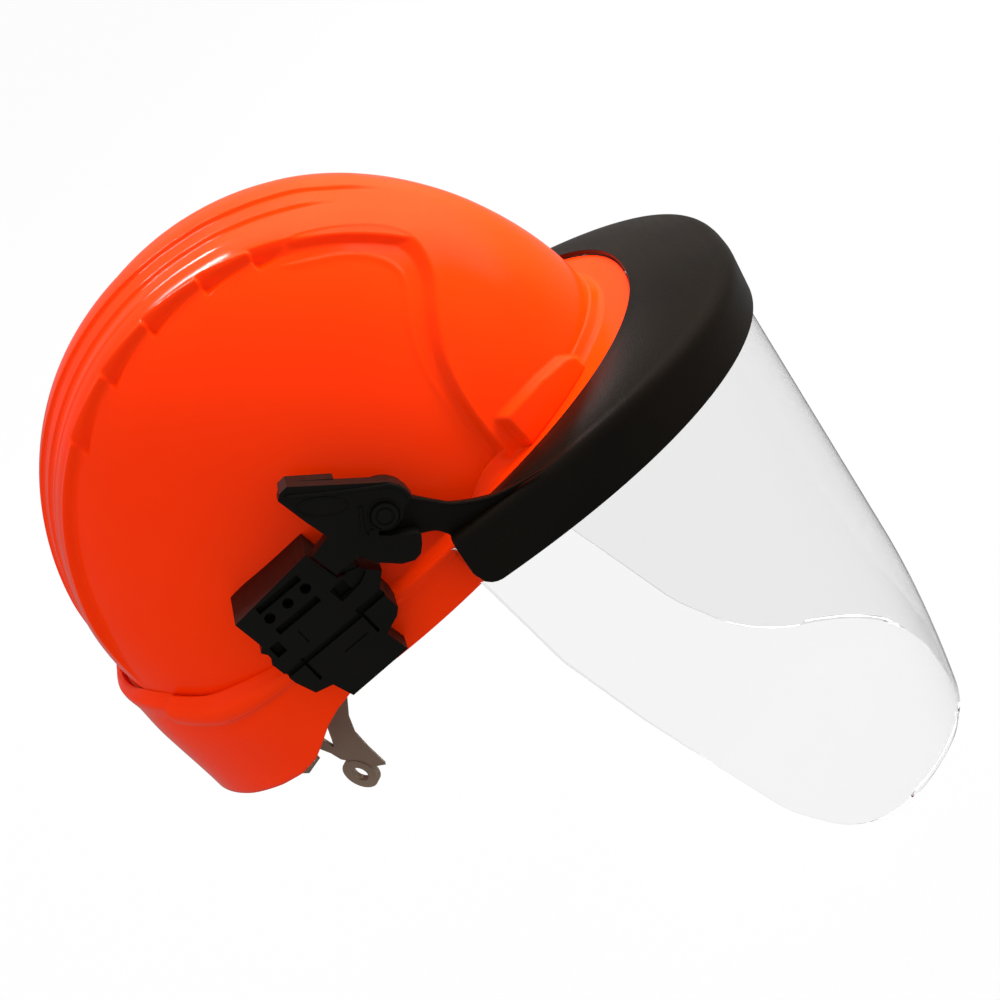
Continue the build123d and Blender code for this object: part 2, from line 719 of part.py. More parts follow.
def make_nape_pad():
    low = NAPE_Z - 11.0
    high = NAPE_Z + 11.0
    return one(arc_block(CASE_INNER - 5.4, CASE_INNER - 1.4, low, high, 66.0, 114.0))


def adaptor_outline():
    return [
        (50.0, 35.0),
        (11.0, 38.5),
        (8.4, 23.0),
        (-0.7, 20.0),
        (-6.2, 13.5),
        (-0.4, 8.0),
        (-0.9, -2.6),
        (1.8, -5.0),
        (9.3, -8.0),
        (7.6, -18.5),
        (36.0, -19.0),
        (38.8, -10.0),
        (46.0, -8.0),
        (49.0, 0.6),
        (49.8, 7.0),
        (50.6, 12.7),
        (49.1, 15.0),
        (49.1, 17.0),
        (50.6, 19.3),
        (48.4, 21.2),
    ]


def adaptor_tongue(grow):
    """Tongue that goes through the shell's side slot and hooks behind its wall."""
    tongue = side_box(16.0 - grow, 32.0 + grow, -9.0 - grow, -5.0 + grow, -112.0, -101.0)
    hook = side_box(16.0 - grow, 32.0 + grow, -9.0 - grow, -2.4 + grow, -104.0, -101.0)
    return tongue + hook


def make_adaptor_right():
    """Block on the shell's side that takes the bracket and other accessories."""
    block = side_outline(adaptor_outline(), -ADAPTOR_OUTER_X, -94.0) - dome(-0.05)
    for y in (20.2, 29.2, 38.4):
        block -= side_rod(y, 28.0, 2.2, -ADAPTOR_OUTER_X - 1.0, -ADAPTOR_OUTER_X + 6.0)
    for z in (21.6, 33.3):
        block -= side_box(19.0, 40.0, z - 1.5, z + 1.5, -ADAPTOR_OUTER_X - 1.0, -ADAPTOR_OUTER_X + 3.0)
    socket = [(14.1, 20.8), (13.4, 14.2), (3.3, 15.1), (-1.5, 17.4), (-1.5, 22.6)]
    block -= side_outline(socket, -ADAPTOR_OUTER_X - 1.0, -ADAPTOR_OUTER_X + 1.6)
    block -= side_box(7.4, 13.2, 15.0, 20.2, -ADAPTOR_OUTER_X - 1.0, -ADAPTOR_OUTER_X + 4.0)
    block -= side_box(33.4, 34.2, 10.2, 16.9, -ADAPTOR_OUTER_X - 1.0, -ADAPTOR_OUTER_X + 0.6)
    block -= side_box(14.5, 26.3, -2.9, -2.2, -ADAPTOR_OUTER_X - 1.0, -ADAPTOR_OUTER_X + 0.6)
    block -= side_box(-1.0, 12.2, 4.8, 8.1, -ADAPTOR_OUTER_X - 1.0, -ADAPTOR_OUTER_X + 2.6)
    block -= side_box(12.0, 50.0, 3.9, 6.3, -ADAPTOR_OUTER_X - 1.0, -ADAPTOR_OUTER_X + 2.0)
    for y in (11.0, 40.6):
        block -= side_box(y - 0.7, y + 0.7, -5.0, 7.0, -ADAPTOR_OUTER_X - 1.0, -ADAPTOR_OUTER_X + 3.0)
    block -= side_box(42.3, 47.0, 13.2, 18.8, -ADAPTOR_OUTER_X - 1.0, -ADAPTOR_OUTER_X + 4.0)
    block -= side_box(0.0, 6.3, 7.5, 40.0, -120.2, -112.3)
    return one(block + adaptor_tongue(0.0))


def bracket_outline():
    return [
        (4.0, 63.0),
        (1.7, 48.7),
        (-0.4, 39.2),
        (9.4, 36.9),
        (7.4, 24.9),
        (-4.0, 24.7),
        (-7.5, 18.1),
        (-14.2, 11.0),
        (-18.8, 8.8),
        (-22.2, 9.3),
        (-25.1, 12.0),
        (-27.5, 15.3),
        (-26.8, 17.4),
        (-23.7, 19.6),
        (-18.6, 22.8),
        (-15.2, 26.3),
        (-17.0, 28.0),
        (-21.5, 24.8),
        (-26.5, 25.2),
        (-29.3, 28.0),
        (-35.0, 29.6),
        (-35.2, 33.5),
        (-34.3, 36.8),
        (-31.9, 40.4),
        (-28.9, 42.8),
        (-2.2, 65.1),
        (1.6, 64.8),
    ]


def make_bracket_right():
    """Carries the pivot pin, with a springy jaw below it, a roof and a tongue into the adaptor."""
    plate = side_outline(bracket_outline(), -BRACKET_OUTER_X, -BRACKET_INNER_X)
    roof_outline = [(-2.2, 65.1), (1.6, 64.8), (3.6, 62.0), (-14.6, 49.2), (-16.4, 53.6)]
    roof = side_outline(roof_outline, -118.0, -112.2)
    plate += roof
    tongue = side_box(0.3, 6.0, 8.0, 30.0, -119.8, -112.5)
    tongue -= side_box(-20.0, 20.0, 27.0, 31.0, -BRACKET_INNER_X, -110.0)
    body = plate + tongue
    body -= side_rod(PIVOT_Y, PIVOT_Z, PIN_RADIUS + 0.05, -140.0, -100.0)
    return one(body)


def make_pivot_pin_right():
    """Flanged pin with a ring groove in its outer head."""
    shank = side_rod(PIVOT_Y, PIVOT_Z, PIN_RADIUS, -BRACKET_OUTER_X - 0.05, -109.5)
    head = side_rod(PIVOT_Y, PIVOT_Z, PIN_HEAD_RADIUS, -BRACKET_OUTER_X - 1.8, -BRACKET_OUTER_X - 0.05)
    groove = side_rod(PIVOT_Y, PIVOT_Z, 3.7, -BRACKET_OUTER_X - 2.0, -BRACKET_OUTER_X - 1.3)
    groove -= side_rod(PIVOT_Y, PIVOT_Z, 2.9, -BRACKET_OUTER_X - 2.1, -BRACKET_OUTER_X - 1.2)
    foot = side_rod(PIVOT_Y, PIVOT_Z, PIN_HEAD_RADIUS, -110.9, -109.4)
    return one(shank + head + foot - groove)


def make_pivot_washers():
    washer = side_rod(PIVOT_Y, PIVOT_Z, 6.6, -112.3, -111.0)
    washer -= side_rod(PIVOT_Y, PIVOT_Z, PIN_RADIUS + 0.06, -113.0, -110.0)
    return Compound(children=[one(washer), one(mirror(washer, Plane.YZ))])


def both_sides(name, right):
    save(name + "_right", right)
    save(name + "_left", mirror(right, Plane.YZ))


def save(name, shape):
    export_step(shape, "parts/" + name + ".step")


def main():
    os.makedirs("parts", exist_ok=True)
    save("shell", make_shell())
    both_sides("adaptor", make_adaptor_right())
    both_sides("bracket", make_bracket_right())
    both_sides("pivot_pin", make_pivot_pin_right())
    save("pivot_washers", make_pivot_washers())
    save("brow_guard", make_brow_guard())
    save("shield", make_shield())
    save("shield_studs", make_shield_studs())
    save("headband", make_headband())
    save("sweatband", make_sweatband())
    save("strap_cross", make_strap(0.0, STRAP_TOP_Z))
    save("strap_diagonal_a", make_strap(56.0, STRAP_TOP_Z + STRAP_STEP))
    save("strap_diagonal_b", make_strap(124.0, STRAP_TOP_Z + 2 * STRAP_STEP))
    save("hanger_keys", make_hanger_keys())
    yoke = make_yoke_left()
    save("yoke_left", yoke)
    save("yoke_right", mirror(yoke, Plane.YZ))
    save("yoke_rivets", make_yoke_rivets())
    save("tail_left", make_tail(LEFT_TAIL_RADIUS, 1, True))
    save("tail_right", make_tail(RIGHT_TAIL_RADIUS, -1, False))
    save("ratchet_base", case_half(CASE_INNER, CASE_SPLIT))
    save("ratchet_cover", case_half(CASE_SPLIT, CASE_OUTER))
    save("ratchet_screws", make_ratchet_screws())
    save("ratchet_pinion", make_ratchet_pinion())
    save("ratchet_knob", make_ratchet_knob())
    save("detent_spring", make_detent_spring())
    save("nape_pad", make_nape_pad())


main()
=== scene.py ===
import json
import math

import bmesh
import bpy
import numpy as np
from mathutils import Matrix, Vector


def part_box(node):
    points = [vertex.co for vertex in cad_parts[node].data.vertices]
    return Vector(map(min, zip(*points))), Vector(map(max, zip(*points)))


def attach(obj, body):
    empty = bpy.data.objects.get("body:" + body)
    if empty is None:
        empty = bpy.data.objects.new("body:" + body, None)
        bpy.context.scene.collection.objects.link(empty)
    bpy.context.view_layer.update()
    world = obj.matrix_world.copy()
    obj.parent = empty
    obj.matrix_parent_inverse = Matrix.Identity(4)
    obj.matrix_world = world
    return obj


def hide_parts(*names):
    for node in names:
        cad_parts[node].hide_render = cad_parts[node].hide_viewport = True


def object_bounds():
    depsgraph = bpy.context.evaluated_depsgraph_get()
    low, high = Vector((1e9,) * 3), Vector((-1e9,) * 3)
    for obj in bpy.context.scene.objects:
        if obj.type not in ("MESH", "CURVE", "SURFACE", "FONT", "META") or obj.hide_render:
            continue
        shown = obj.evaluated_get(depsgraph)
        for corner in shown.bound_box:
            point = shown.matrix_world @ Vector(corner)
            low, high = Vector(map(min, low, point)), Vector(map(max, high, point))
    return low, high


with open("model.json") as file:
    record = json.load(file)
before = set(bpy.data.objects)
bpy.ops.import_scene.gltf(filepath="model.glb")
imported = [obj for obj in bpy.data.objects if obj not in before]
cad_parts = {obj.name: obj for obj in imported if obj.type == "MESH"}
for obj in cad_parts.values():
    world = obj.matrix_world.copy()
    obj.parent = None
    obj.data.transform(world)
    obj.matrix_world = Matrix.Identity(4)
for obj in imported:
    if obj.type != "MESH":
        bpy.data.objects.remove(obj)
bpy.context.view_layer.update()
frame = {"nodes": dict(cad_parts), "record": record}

# Hard hat with a brow guard and face shield. Metres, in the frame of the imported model:
# X is the wearer's left, -Y the front and Z up.

NODES = frame["nodes"]
MM = 0.001

# Shell, in the same dimensions as the CAD shell
BASE_RADIUS = 100.0 * MM
DOME_WIDTH = 103.0 * MM
DOME_LENGTH = 128.35 * MM
DOME_HEIGHT = 139.3 * MM
DOME_Y = -1.35 * MM
PLAN_POWER = 2.05
RISE_POWER = 2.16
SHELL_WALL = 2.6 * MM
LEDGE = 1.062
LEDGE_SHARE = 0.34
LEDGE_DROP = 4.6 * MM
LEDGE_LIFT = 11.0 * MM
LEDGE_BEAD = 0.9 * MM
LEDGE_BEAD_AT = 0.30
LEDGE_BEAD_SPREAD = 0.06
RIB_END_X = 59.5 * MM
RIB_END_SLOPE = 1.2 * MM
RIB_RISE = 3.2 * MM
RIB_FOOT = 0.42
SKIRT = 1.07
SKIRT_START = 0.30
BRIM_WIDTH = 109.3 * MM
BRIM_LENGTH = 147.5 * MM
BRIM_POWER = 2.23
BRIM_Z = 0.6 * MM
BRIM_LIP = 6.0 * MM
BRIM_SHARE = 0.62
BRIM_FILLET = 7.0 * MM
FILLET_SHARE = 0.34
BRIM_ROOT = 2.6 * MM
AROUND = 800
DOME_ROWS = 240
FOOT_ROWS = 46
INNER_ROWS = 60

# Relief on the shell
BAND_EDGE = 44.0 * MM
BAND_RISE = 3.2 * MM
CHANNEL_DEPTH = 1.7 * MM
EDGE_BEAD = 0.55 * MM
BEAD_WIDTH = 1.5 * MM
BAND_SLOPE = 2.4 * MM
SCOOP_ENDS = (61.0 * MM, 34.0 * MM, 8.0 * MM, -19.0 * MM, -41.0 * MM)
SCOOP_LENGTH = 21.0 * MM
SCOOP_WIDTH = 7.5 * MM
SCOOP_DEPTH = 2.8 * MM
BAND_FADE_LOW = 4.0 * MM
BAND_FADE_HIGH = 50.0 * MM
STEP_RISE = 1.5 * MM
PAD_RISE = 4.6 * MM
PAD_END = 49.5
PAD_SLOPE = 2.6 * MM
PAD_AZIMUTHS = (26.0, 28.0, 30.4, 37.5, 47.3, 50.0)
PAD_TOPS = (3.0 * MM, 9.0 * MM, 13.0 * MM, 16.5 * MM, 18.6 * MM, 19.0 * MM)

# Guard
GUARD_WIDTH = 126.4 * MM
GUARD_LENGTH = 190.4 * MM
GUARD_POWER = 2.48
GUARD_PITCH = math.radians(7.4)
GUARD_CREASE_Z = 10.7 * MM
GUARD_SKIRT = 21.5 * MM
GUARD_SKIRT_CHANGE = 5.0 * MM
GUARD_WALL = 2.4 * MM
GUARD_CORNER = 9.0 * MM
GUARD_ROUND = 6.0 * MM
GUARD_CROWN = 1.5 * MM
GUARD_TUCK_SIDE = 1.5 * MM
GUARD_TUCK_FRONT = 2.0 * MM
GUARD_SECTIONS = 221
GUARD_END_Y = -34.5 * MM
EDGE_WIDTH = 110.5 * MM
EDGE_LENGTH = 148.7 * MM
EDGE_POWER = 2.23
EDGE_Z = 2.6 * MM

# Shield
SHIELD_WIDTH = 121.0 * MM
SHIELD_LENGTH = 184.0 * MM
SHIELD_POWER = 2.5
SHIELD_PITCH = math.radians(8.0)
SHIELD_ORIGIN_Z = 9.0 * MM
SHIELD_THICKNESS = 1.5 * MM
SHIELD_TOP = 4.0 * MM
SHIELD_BOTTOM = 224.0 * MM
SHIELD_CORNER = 46.0 * MM
SHIELD_CORNER_SHARE = 0.30
SHIELD_CURL_START = 150.0 * MM
SHIELD_CURL = 1.4
FOOT_SAG = 3.0 * MM
PANE_DEPTH = 40.0 * MM
PANE_SAMPLES = 401
PANE_COLUMNS = 161
PANE_ROWS = 120

# Arms and brackets
PIVOT = frame["record"]["behaviour"]["joints"][0]["pos_m"]
PIVOT_Y = PIVOT[1]
PIVOT_Z = PIVOT[2]
ARM_INNER_X = 112.6 * MM
ARM_OUTER_X = 117.2 * MM
ARM_EYE = 12.4 * MM
BRACKET_FACE = 124.0 * MM
# In millimetres, beside outlines that are too
RIDGE_HALF_WIDTH = 1.9
RIDGE_HALF_HEIGHT = 0.95
COLLAR_RADIUS = 6.2

# Harness
BAND_Y = 22.0 * MM
NAPE_RADIUS = 76.0 * MM
FRONT_REACH = 118.0 * MM
STRAP_FLAT = 28.0 * MM
STRAP_BEND = 28.0 * MM
STRAP_FOOT = 9.5 * MM
STRAP_HALF = 9.9 * MM
STRAP_HALF_THICK = 0.6 * MM
STRAP_OFFSET = 0.7 * MM
HANGER_GAP = 8.0 * MM
CUSHION_SIDES = 28
# In millimetres from the band's middle line: where a cushion sits and half its thickness
SWEATBAND_OFFSET = -4.0
SWEATBAND_HALF = 1.75
NAPE_PAD_OFFSET = -3.4
NAPE_PAD_HALF = 2.0

# Light and camera
WORLD_LEVEL = 1.0
WORLD_FILL = 1.0
WORLD_GLOSS = 0.25
FLOOR_GLOW = 0.97
FLOOR_FILL = 0.55
FLOOR_GLOSS = 0.2
FLOOR_SHADE = 0.008
FLOOR_SIZE = 6.0
FLOOR_GAP = 1.0 * MM
LIGHT_AIM = Vector((0.0, -0.02, 0.0))
LIGHT_REACH = 1.5
KEY_SIZE = (2.2, 1.4)
KEY_POWER = 165.0
SHEEN_POWER = 11.0
GLINT_SIZE = (0.50, 0.06)
GLINT_POWER = 9.0
CAMERA_AT = Vector((-1.1175, -0.1852, 0.4006))
CAMERA_RIGHT = Vector((-0.1531, -0.7624, -0.6287))
CAMERA_UP = Vector((0.3537, -0.6363, 0.6856))
CAMERA_LENS = 101.1


# ---------------------------------------------------------------- materials

def new_material(name):
    material = bpy.data.materials.new(name)
    material.use_nodes = True
    tree = material.node_tree
    shader = tree.nodes["Principled BSDF"]
    return material, tree, shader


def add_noise(tree, scale, detail=3.0):
    place = tree.nodes.new("ShaderNodeTexCoord")
    noise = tree.nodes.new("ShaderNodeTexNoise")
    noise.inputs["Scale"].default_value = scale
    noise.inputs["Detail"].default_value = detail
    noise.inputs["Roughness"].default_value = 0.55
    tree.links.new(place.outputs["Object"], noise.inputs["Vector"])
    return noise.outputs["Fac"]


def ramp(tree, value, low, high, at_low=0.0, at_high=1.0):
    """Maps a value between two limits to a colour range."""
    node = tree.nodes.new("ShaderNodeValToRGB")
    node.color_ramp.elements[0].position = at_low
    node.color_ramp.elements[0].color = low
    node.color_ramp.elements[1].position = at_high
    node.color_ramp.elements[1].color = high
    tree.links.new(value, node.inputs["Fac"])
    return node.outputs["Color"]


def map_range(tree, value, low, high):
    node = tree.nodes.new("ShaderNodeMapRange")
    node.inputs["To Min"].default_value = low
    node.inputs["To Max"].default_value = high
    tree.links.new(value, node.inputs["Value"])
    return node.outputs["Result"]


def bump(tree, shader, height, strength, distance):
    node = tree.nodes.new("ShaderNodeBump")
    node.inputs["Strength"].default_value = strength
    node.inputs["Distance"].default_value = distance
    tree.links.new(height, node.inputs["Height"])
    tree.links.new(node.outputs["Normal"], shader.inputs["Normal"])


def scratches(tree, scale):
    """Fine hairline marks as a stretched noise."""
    place = tree.nodes.new("ShaderNodeTexCoord")
    stretch = tree.nodes.new("ShaderNodeMapping")
    stretch.inputs["Scale"].default_value = (1.0, 9.0, 4.0)
    stretch.inputs["Rotation"].default_value = (0.4, 0.9, 0.3)
    noise = tree.nodes.new("ShaderNodeTexNoise")
    noise.inputs["Scale"].default_value = scale
    noise.inputs["Detail"].default_value = 5.0
    tree.links.new(place.outputs["Object"], stretch.inputs["Vector"])
    tree.links.new(stretch.outputs["Vector"], noise.inputs["Vector"])
    return noise.outputs["Fac"]


def shell_plastic():
    """Glossy moulded orange with a faint mottle, an orange-peel skin and light scuffs."""
    material, tree, shader = new_material("shell_orange")
    mottle = add_noise(tree, 9.0, 4.0)
    colour = ramp(tree, mottle, (0.90, 0.030, 0.0006, 1), (0.95, 0.037, 0.0010, 1), 0.3, 0.7)
    tree.links.new(colour, shader.inputs["Base Color"])
    scuff = scratches(tree, 60.0)
    tree.links.new(map_range(tree, scuff, 0.10, 0.17), shader.inputs["Roughness"])
    bump(tree, shader, add_noise(tree, 520.0, 2.0), 0.03, 0.0002)
    shader.inputs["Specular IOR Level"].default_value = 0.08
    return material


def black_plastic(name, base, grain, grain_depth, rough_low, rough_high):
    """Satin black moulded plastic with a fine spark-eroded grain."""
    material, tree, shader = new_material(name)
    shade = add_noise(tree, 14.0, 4.0)
    low = tuple(0.75 * c for c in base) + (1,)
    high = tuple(1.25 * c for c in base) + (1,)
    tree.links.new(ramp(tree, shade, low, high, 0.3, 0.7), shader.inputs["Base Color"])
    worn = scratches(tree, 45.0)
    tree.links.new(map_range(tree, worn, rough_low, rough_high), shader.inputs["Roughness"])
    bump(tree, shader, add_noise(tree, grain, 3.0), 0.35, grain_depth)
    shader.inputs["Specular IOR Level"].default_value = 0.14
    return material


def clear_pane():
    """Clear polycarbonate with faint handling marks. Light passes it without a dark shadow."""
    material, tree, shader = new_material("clear_pane")
    shader.inputs["Base Color"].default_value = (0.91, 0.91, 0.91, 1)
    shader.inputs["Transmission Weight"].default_value = 1.0
    shader.inputs["IOR"].default_value = 1.18
    marks = scratches(tree, 25.0)
    tree.links.new(map_range(tree, marks, 0.0, 0.05), shader.inputs["Roughness"])
    passing = tree.nodes.new("ShaderNodeBsdfTransparent")
    passing.inputs["Color"].default_value = (0.93, 0.935, 0.935, 1)
    path = tree.nodes.new("ShaderNodeLightPath")
    mix = tree.nodes.new("ShaderNodeMixShader")
    tree.links.new(path.outputs["Is Shadow Ray"], mix.inputs["Fac"])
    tree.links.new(shader.outputs["BSDF"], mix.inputs[1])
    tree.links.new(passing.outputs["BSDF"], mix.inputs[2])
    tree.links.new(mix.outputs["Shader"], tree.nodes["Material Output"].inputs["Surface"])
    return material


def webbing():
    """Woven polyester tape: two crossed sets of fine ribs."""
    material, tree, shader = new_material("webbing")
    place = tree.nodes.new("ShaderNodeTexCoord")
    waves = []
    for rotation in ((0.0, 0.0, 0.6), (0.0, 0.0, -0.6)):
        turn = tree.nodes.new("ShaderNodeMapping")
        turn.inputs["Rotation"].default_value = rotation
        wave = tree.nodes.new("ShaderNodeTexWave")
        wave.inputs["Scale"].default_value = 210.0
        wave.inputs["Distortion"].default_value = 0.6
        tree.links.new(place.outputs["Object"], turn.inputs["Vector"])
        tree.links.new(turn.outputs["Vector"], wave.inputs["Vector"])
        waves.append(wave.outputs["Fac"])
    weave = tree.nodes.new("ShaderNodeMath")
    weave.operation = "MULTIPLY"
    tree.links.new(waves[0], weave.inputs[0])
    tree.links.new(waves[1], weave.inputs[1])
    low = (0.030, 0.029, 0.027, 1)
    high = (0.115, 0.108, 0.100, 1)
    colour = ramp(tree, weave.outputs["Value"], low, high)
    tree.links.new(colour, shader.inputs["Base Color"])
    shader.inputs["Roughness"].default_value = 0.85
    shader.inputs["Sheen Weight"].default_value = 0.3
    bump(tree, shader, weave.outputs["Value"], 0.6, 0.0004)
    return material


def pad_fabric():
    """Brushed knit over foam."""
    material, tree, shader = new_material("pad_fabric")
    cells = tree.nodes.new("ShaderNodeTexVoronoi")
    cells.inputs["Scale"].default_value = 700.0
    place = tree.nodes.new("ShaderNodeTexCoord")
    tree.links.new(place.outputs["Object"], cells.inputs["Vector"])
    knit_high = (0.050, 0.050, 0.052, 1)
    knit_low = (0.016, 0.016, 0.017, 1)
    colour = ramp(tree, cells.outputs["Distance"], knit_high, knit_low, 0.1, 0.7)
    tree.links.new(colour, shader.inputs["Base Color"])
    shader.inputs["Roughness"].default_value = 0.95
    shader.inputs["Sheen Weight"].default_value = 0.5
    bump(tree, shader, cells.outputs["Distance"], 0.7, 0.0005)
    return material


def plated_steel():
    material, tree, shader = new_material("plated_steel")
    shader.inputs["Metallic"].default_value = 1.0
    brushed = scratches(tree, 300.0)
    tree.links.new(map_range(tree, brushed, 0.22, 0.42), shader.inputs["Roughness"])
    colour = ramp(tree, brushed, (0.40, 0.40, 0.41, 1), (0.66, 0.66, 0.67, 1))
    tree.links.new(colour, shader.inputs["Base Color"])
    bump(tree, shader, brushed, 0.15, 0.0002)
    return material


# ---------------------------------------------------------------- mesh helpers

def mesh_object(name, points, faces, material, smooth=True):
    mesh = bpy.data.meshes.new(name)
    mesh.from_pydata([tuple(p) for p in points], [], [tuple(f) for f in faces])
    mesh.validate()
    piece = bpy.data.objects.new(name, mesh)
    bpy.context.scene.collection.objects.link(piece)
    mesh.materials.append(material)
    for polygon in mesh.polygons:
        polygon.use_smooth = smooth
    return piece


def outward(piece):
    """Makes a closed mesh's faces all look outwards."""
    made = bmesh.new()
    made.from_mesh(piece.data)
    bmesh.ops.recalc_face_normals(made, faces=made.faces)
    made.to_mesh(piece.data)
    made.free()


def weld(piece, gap=0.01 * MM):
    """Joins points that meet, such as a grid's top row, and turns the faces outwards."""
    made = bmesh.new()
    made.from_mesh(piece.data)
    bmesh.ops.remove_doubles(made, verts=made.verts, dist=gap)
    bmesh.ops.recalc_face_normals(made, faces=made.faces)
    made.to_mesh(piece.data)
    made.free()


def grid_faces(rows, columns, start=0, closed=True, flip=False):
    """Quads of a grid whose columns may close on themselves."""
    faces = []
    last = columns if closed else columns - 1
    for i in range(rows - 1):
        for j in range(last):
            k = (j + 1) % columns
            quad = [start + i * columns + j, start + (i + 1) * columns + j]
            quad += [start + (i + 1) * columns + k, start + i * columns + k]
            faces.append(tuple(reversed(quad)) if flip else tuple(quad))
    return faces


def section_faces(rings):
    """Quads between closed sections that follow one another."""
    count = len(rings[0])
    faces = []
    for i in range(len(rings) - 1):
        for j in range(count):
            k = (j + 1) % count
            faces.append((i * count + j, i * count + k, (i + 1) * count + k, (i + 1) * count + j))
    return faces


def swept_solid(rings):
    """Points and faces of a tube made of closed sections, each end closed by a strip of quads."""
    count = len(rings[0])
    points = [p for ring in rings for p in ring]
    faces = section_faces(rings)
    last = (len(rings) - 1) * count
    for j in range(count // 2 - 1):
        k = count - 1 - j
        faces.append((j + 1, j, k, k - 1))
        faces.append((last + j, last + j + 1, last + k - 1, last + k))
    return points, faces


def extruded(outline, x0, x1):
    """Points and faces of a side outline (y, z) carried along X, with quads round its wall."""
    count = len(outline)
    points = [(x0, y, z) for y, z in outline] + [(x1, y, z) for y, z in outline]
    faces = [tuple(range(count)), tuple(reversed(range(count, 2 * count)))]
    for j in range(count):
        k = (j + 1) % count
        faces.append((j, k, count + k, count + j))
    return points, faces


def closed_tube(rings):
    """Tube of closed sections whose ends close on a middle point."""
    count = len(rings[0])
    points = [p for ring in rings for p in ring]
    faces = section_faces(rings)
    for ring, flip in ((0, False), (len(rings) - 1, True)):
        middle = sum(rings[ring], Vector()) / count
        points.append(middle)
        tip = len(points) - 1
        for j in range(count):
            k = (j + 1) % count
            a = ring * count + j
            b = ring * count + k
            faces.append((tip, b, a) if flip else (tip, a, b))
    return points, faces


def smoothstep(value, low, high):
    """Eases from 0 at the low value to 1 at the high value."""
    t = np.clip((value - low) / (high - low), 0.0, 1.0)
    return t * t * (3.0 - 2.0 * t)


def bevel_edges(piece, width, segments=3, angle=35.0):
    modifier = piece.modifiers.new("edges", "BEVEL")
    modifier.width = width
    modifier.segments = segments
    modifier.limit_method = "ANGLE"
    modifier.angle_limit = math.radians(angle)
    modifier.harden_normals = True


def spline_through(points, steps):
    """A smooth path through a few points, as Catmull-Rom spans."""
    p = np.array(points, float)
    p = np.vstack([2 * p[0] - p[1], p, 2 * p[-1] - p[-2]])
    out = []
    for i in range(1, len(p) - 2):
        for k in range(steps):
            t = k / steps
            a = 2 * p[i]
            b = p[i + 1] - p[i - 1]
            c = 2 * p[i - 1] - 5 * p[i] + 4 * p[i + 1] - p[i + 2]
            d = -p[i - 1] + 3 * p[i] - 3 * p[i + 1] + p[i + 2]
            out.append(0.5 * (a + b * t + c * t * t + d * t ** 3))
    out.append(p[-2])
    return np.array(out)


def distance_to_path(y, z, path):
    """Distance of many points in a plane to a path of straight spans."""
    best = np.full(y.shape, 1e9)
    for a, b in zip(path[:-1], path[1:]):
        span = b - a
        length = span @ span
        t = np.clip(((y - a[0]) * span[0] + (z - a[1]) * span[1]) / length, 0.0, 1.0)
        gap = np.hypot(y - a[0] - t * span[0], z - a[1] - t * span[1])
        best = np.minimum(best, gap)
    return best


def inside_outline(y, z, outline):
    """True where points of a plane are inside a closed outline."""
    inside = np.zeros(y.shape, bool)
    count = len(outline)
    for i in range(count):
        a = outline[i]
        b = outline[(i + 1) % count]
        crosses = (a[1] > z) != (b[1] > z)
        rise = b[1] - a[1]
        if abs(rise) < 1e-12:
            continue
        at = a[0] + (z - a[1]) * (b[0] - a[0]) / rise
        inside ^= crosses & (y < at)
    return inside


# ---------------------------------------------------------------- shell

def rim_height(y):
    """Lower edge of the shell: level at the sides and dipping at the nape."""
    at = np.array([-150, -100, -70, -34, 40, 49, 57, 65.5, 73.5, 85, 97, 115, 140]) * MM
    z = np.array([-6, -6, -13, -23, -24.5, -27.5, -31.5, -37.5, -43, -47.4, -49.6, -51.6, -52.6]) * MM
    return np.interp(y, at, z)


def brim_radius(angle):
    """Reach of the brim from the middle in each direction."""
    c = np.abs(np.cos(angle)) / BRIM_WIDTH
    s = np.abs(np.sin(angle)) / BRIM_LENGTH
    return (c ** BRIM_POWER + s ** BRIM_POWER) ** (-1 / BRIM_POWER)


def dome_points(angle, rise):
    """Dome surface: angle round it, rise from 0 at the top to 1 at the foot."""
    a = rise * math.pi / 2
    r = np.sin(a) ** (2 / PLAN_POWER)
    z = DOME_HEIGHT * np.cos(a) ** (2 / RISE_POWER)
    x = DOME_WIDTH * r * np.cos(angle)
    y = DOME_Y + DOME_LENGTH * r * np.sin(angle)
    return x, y, z


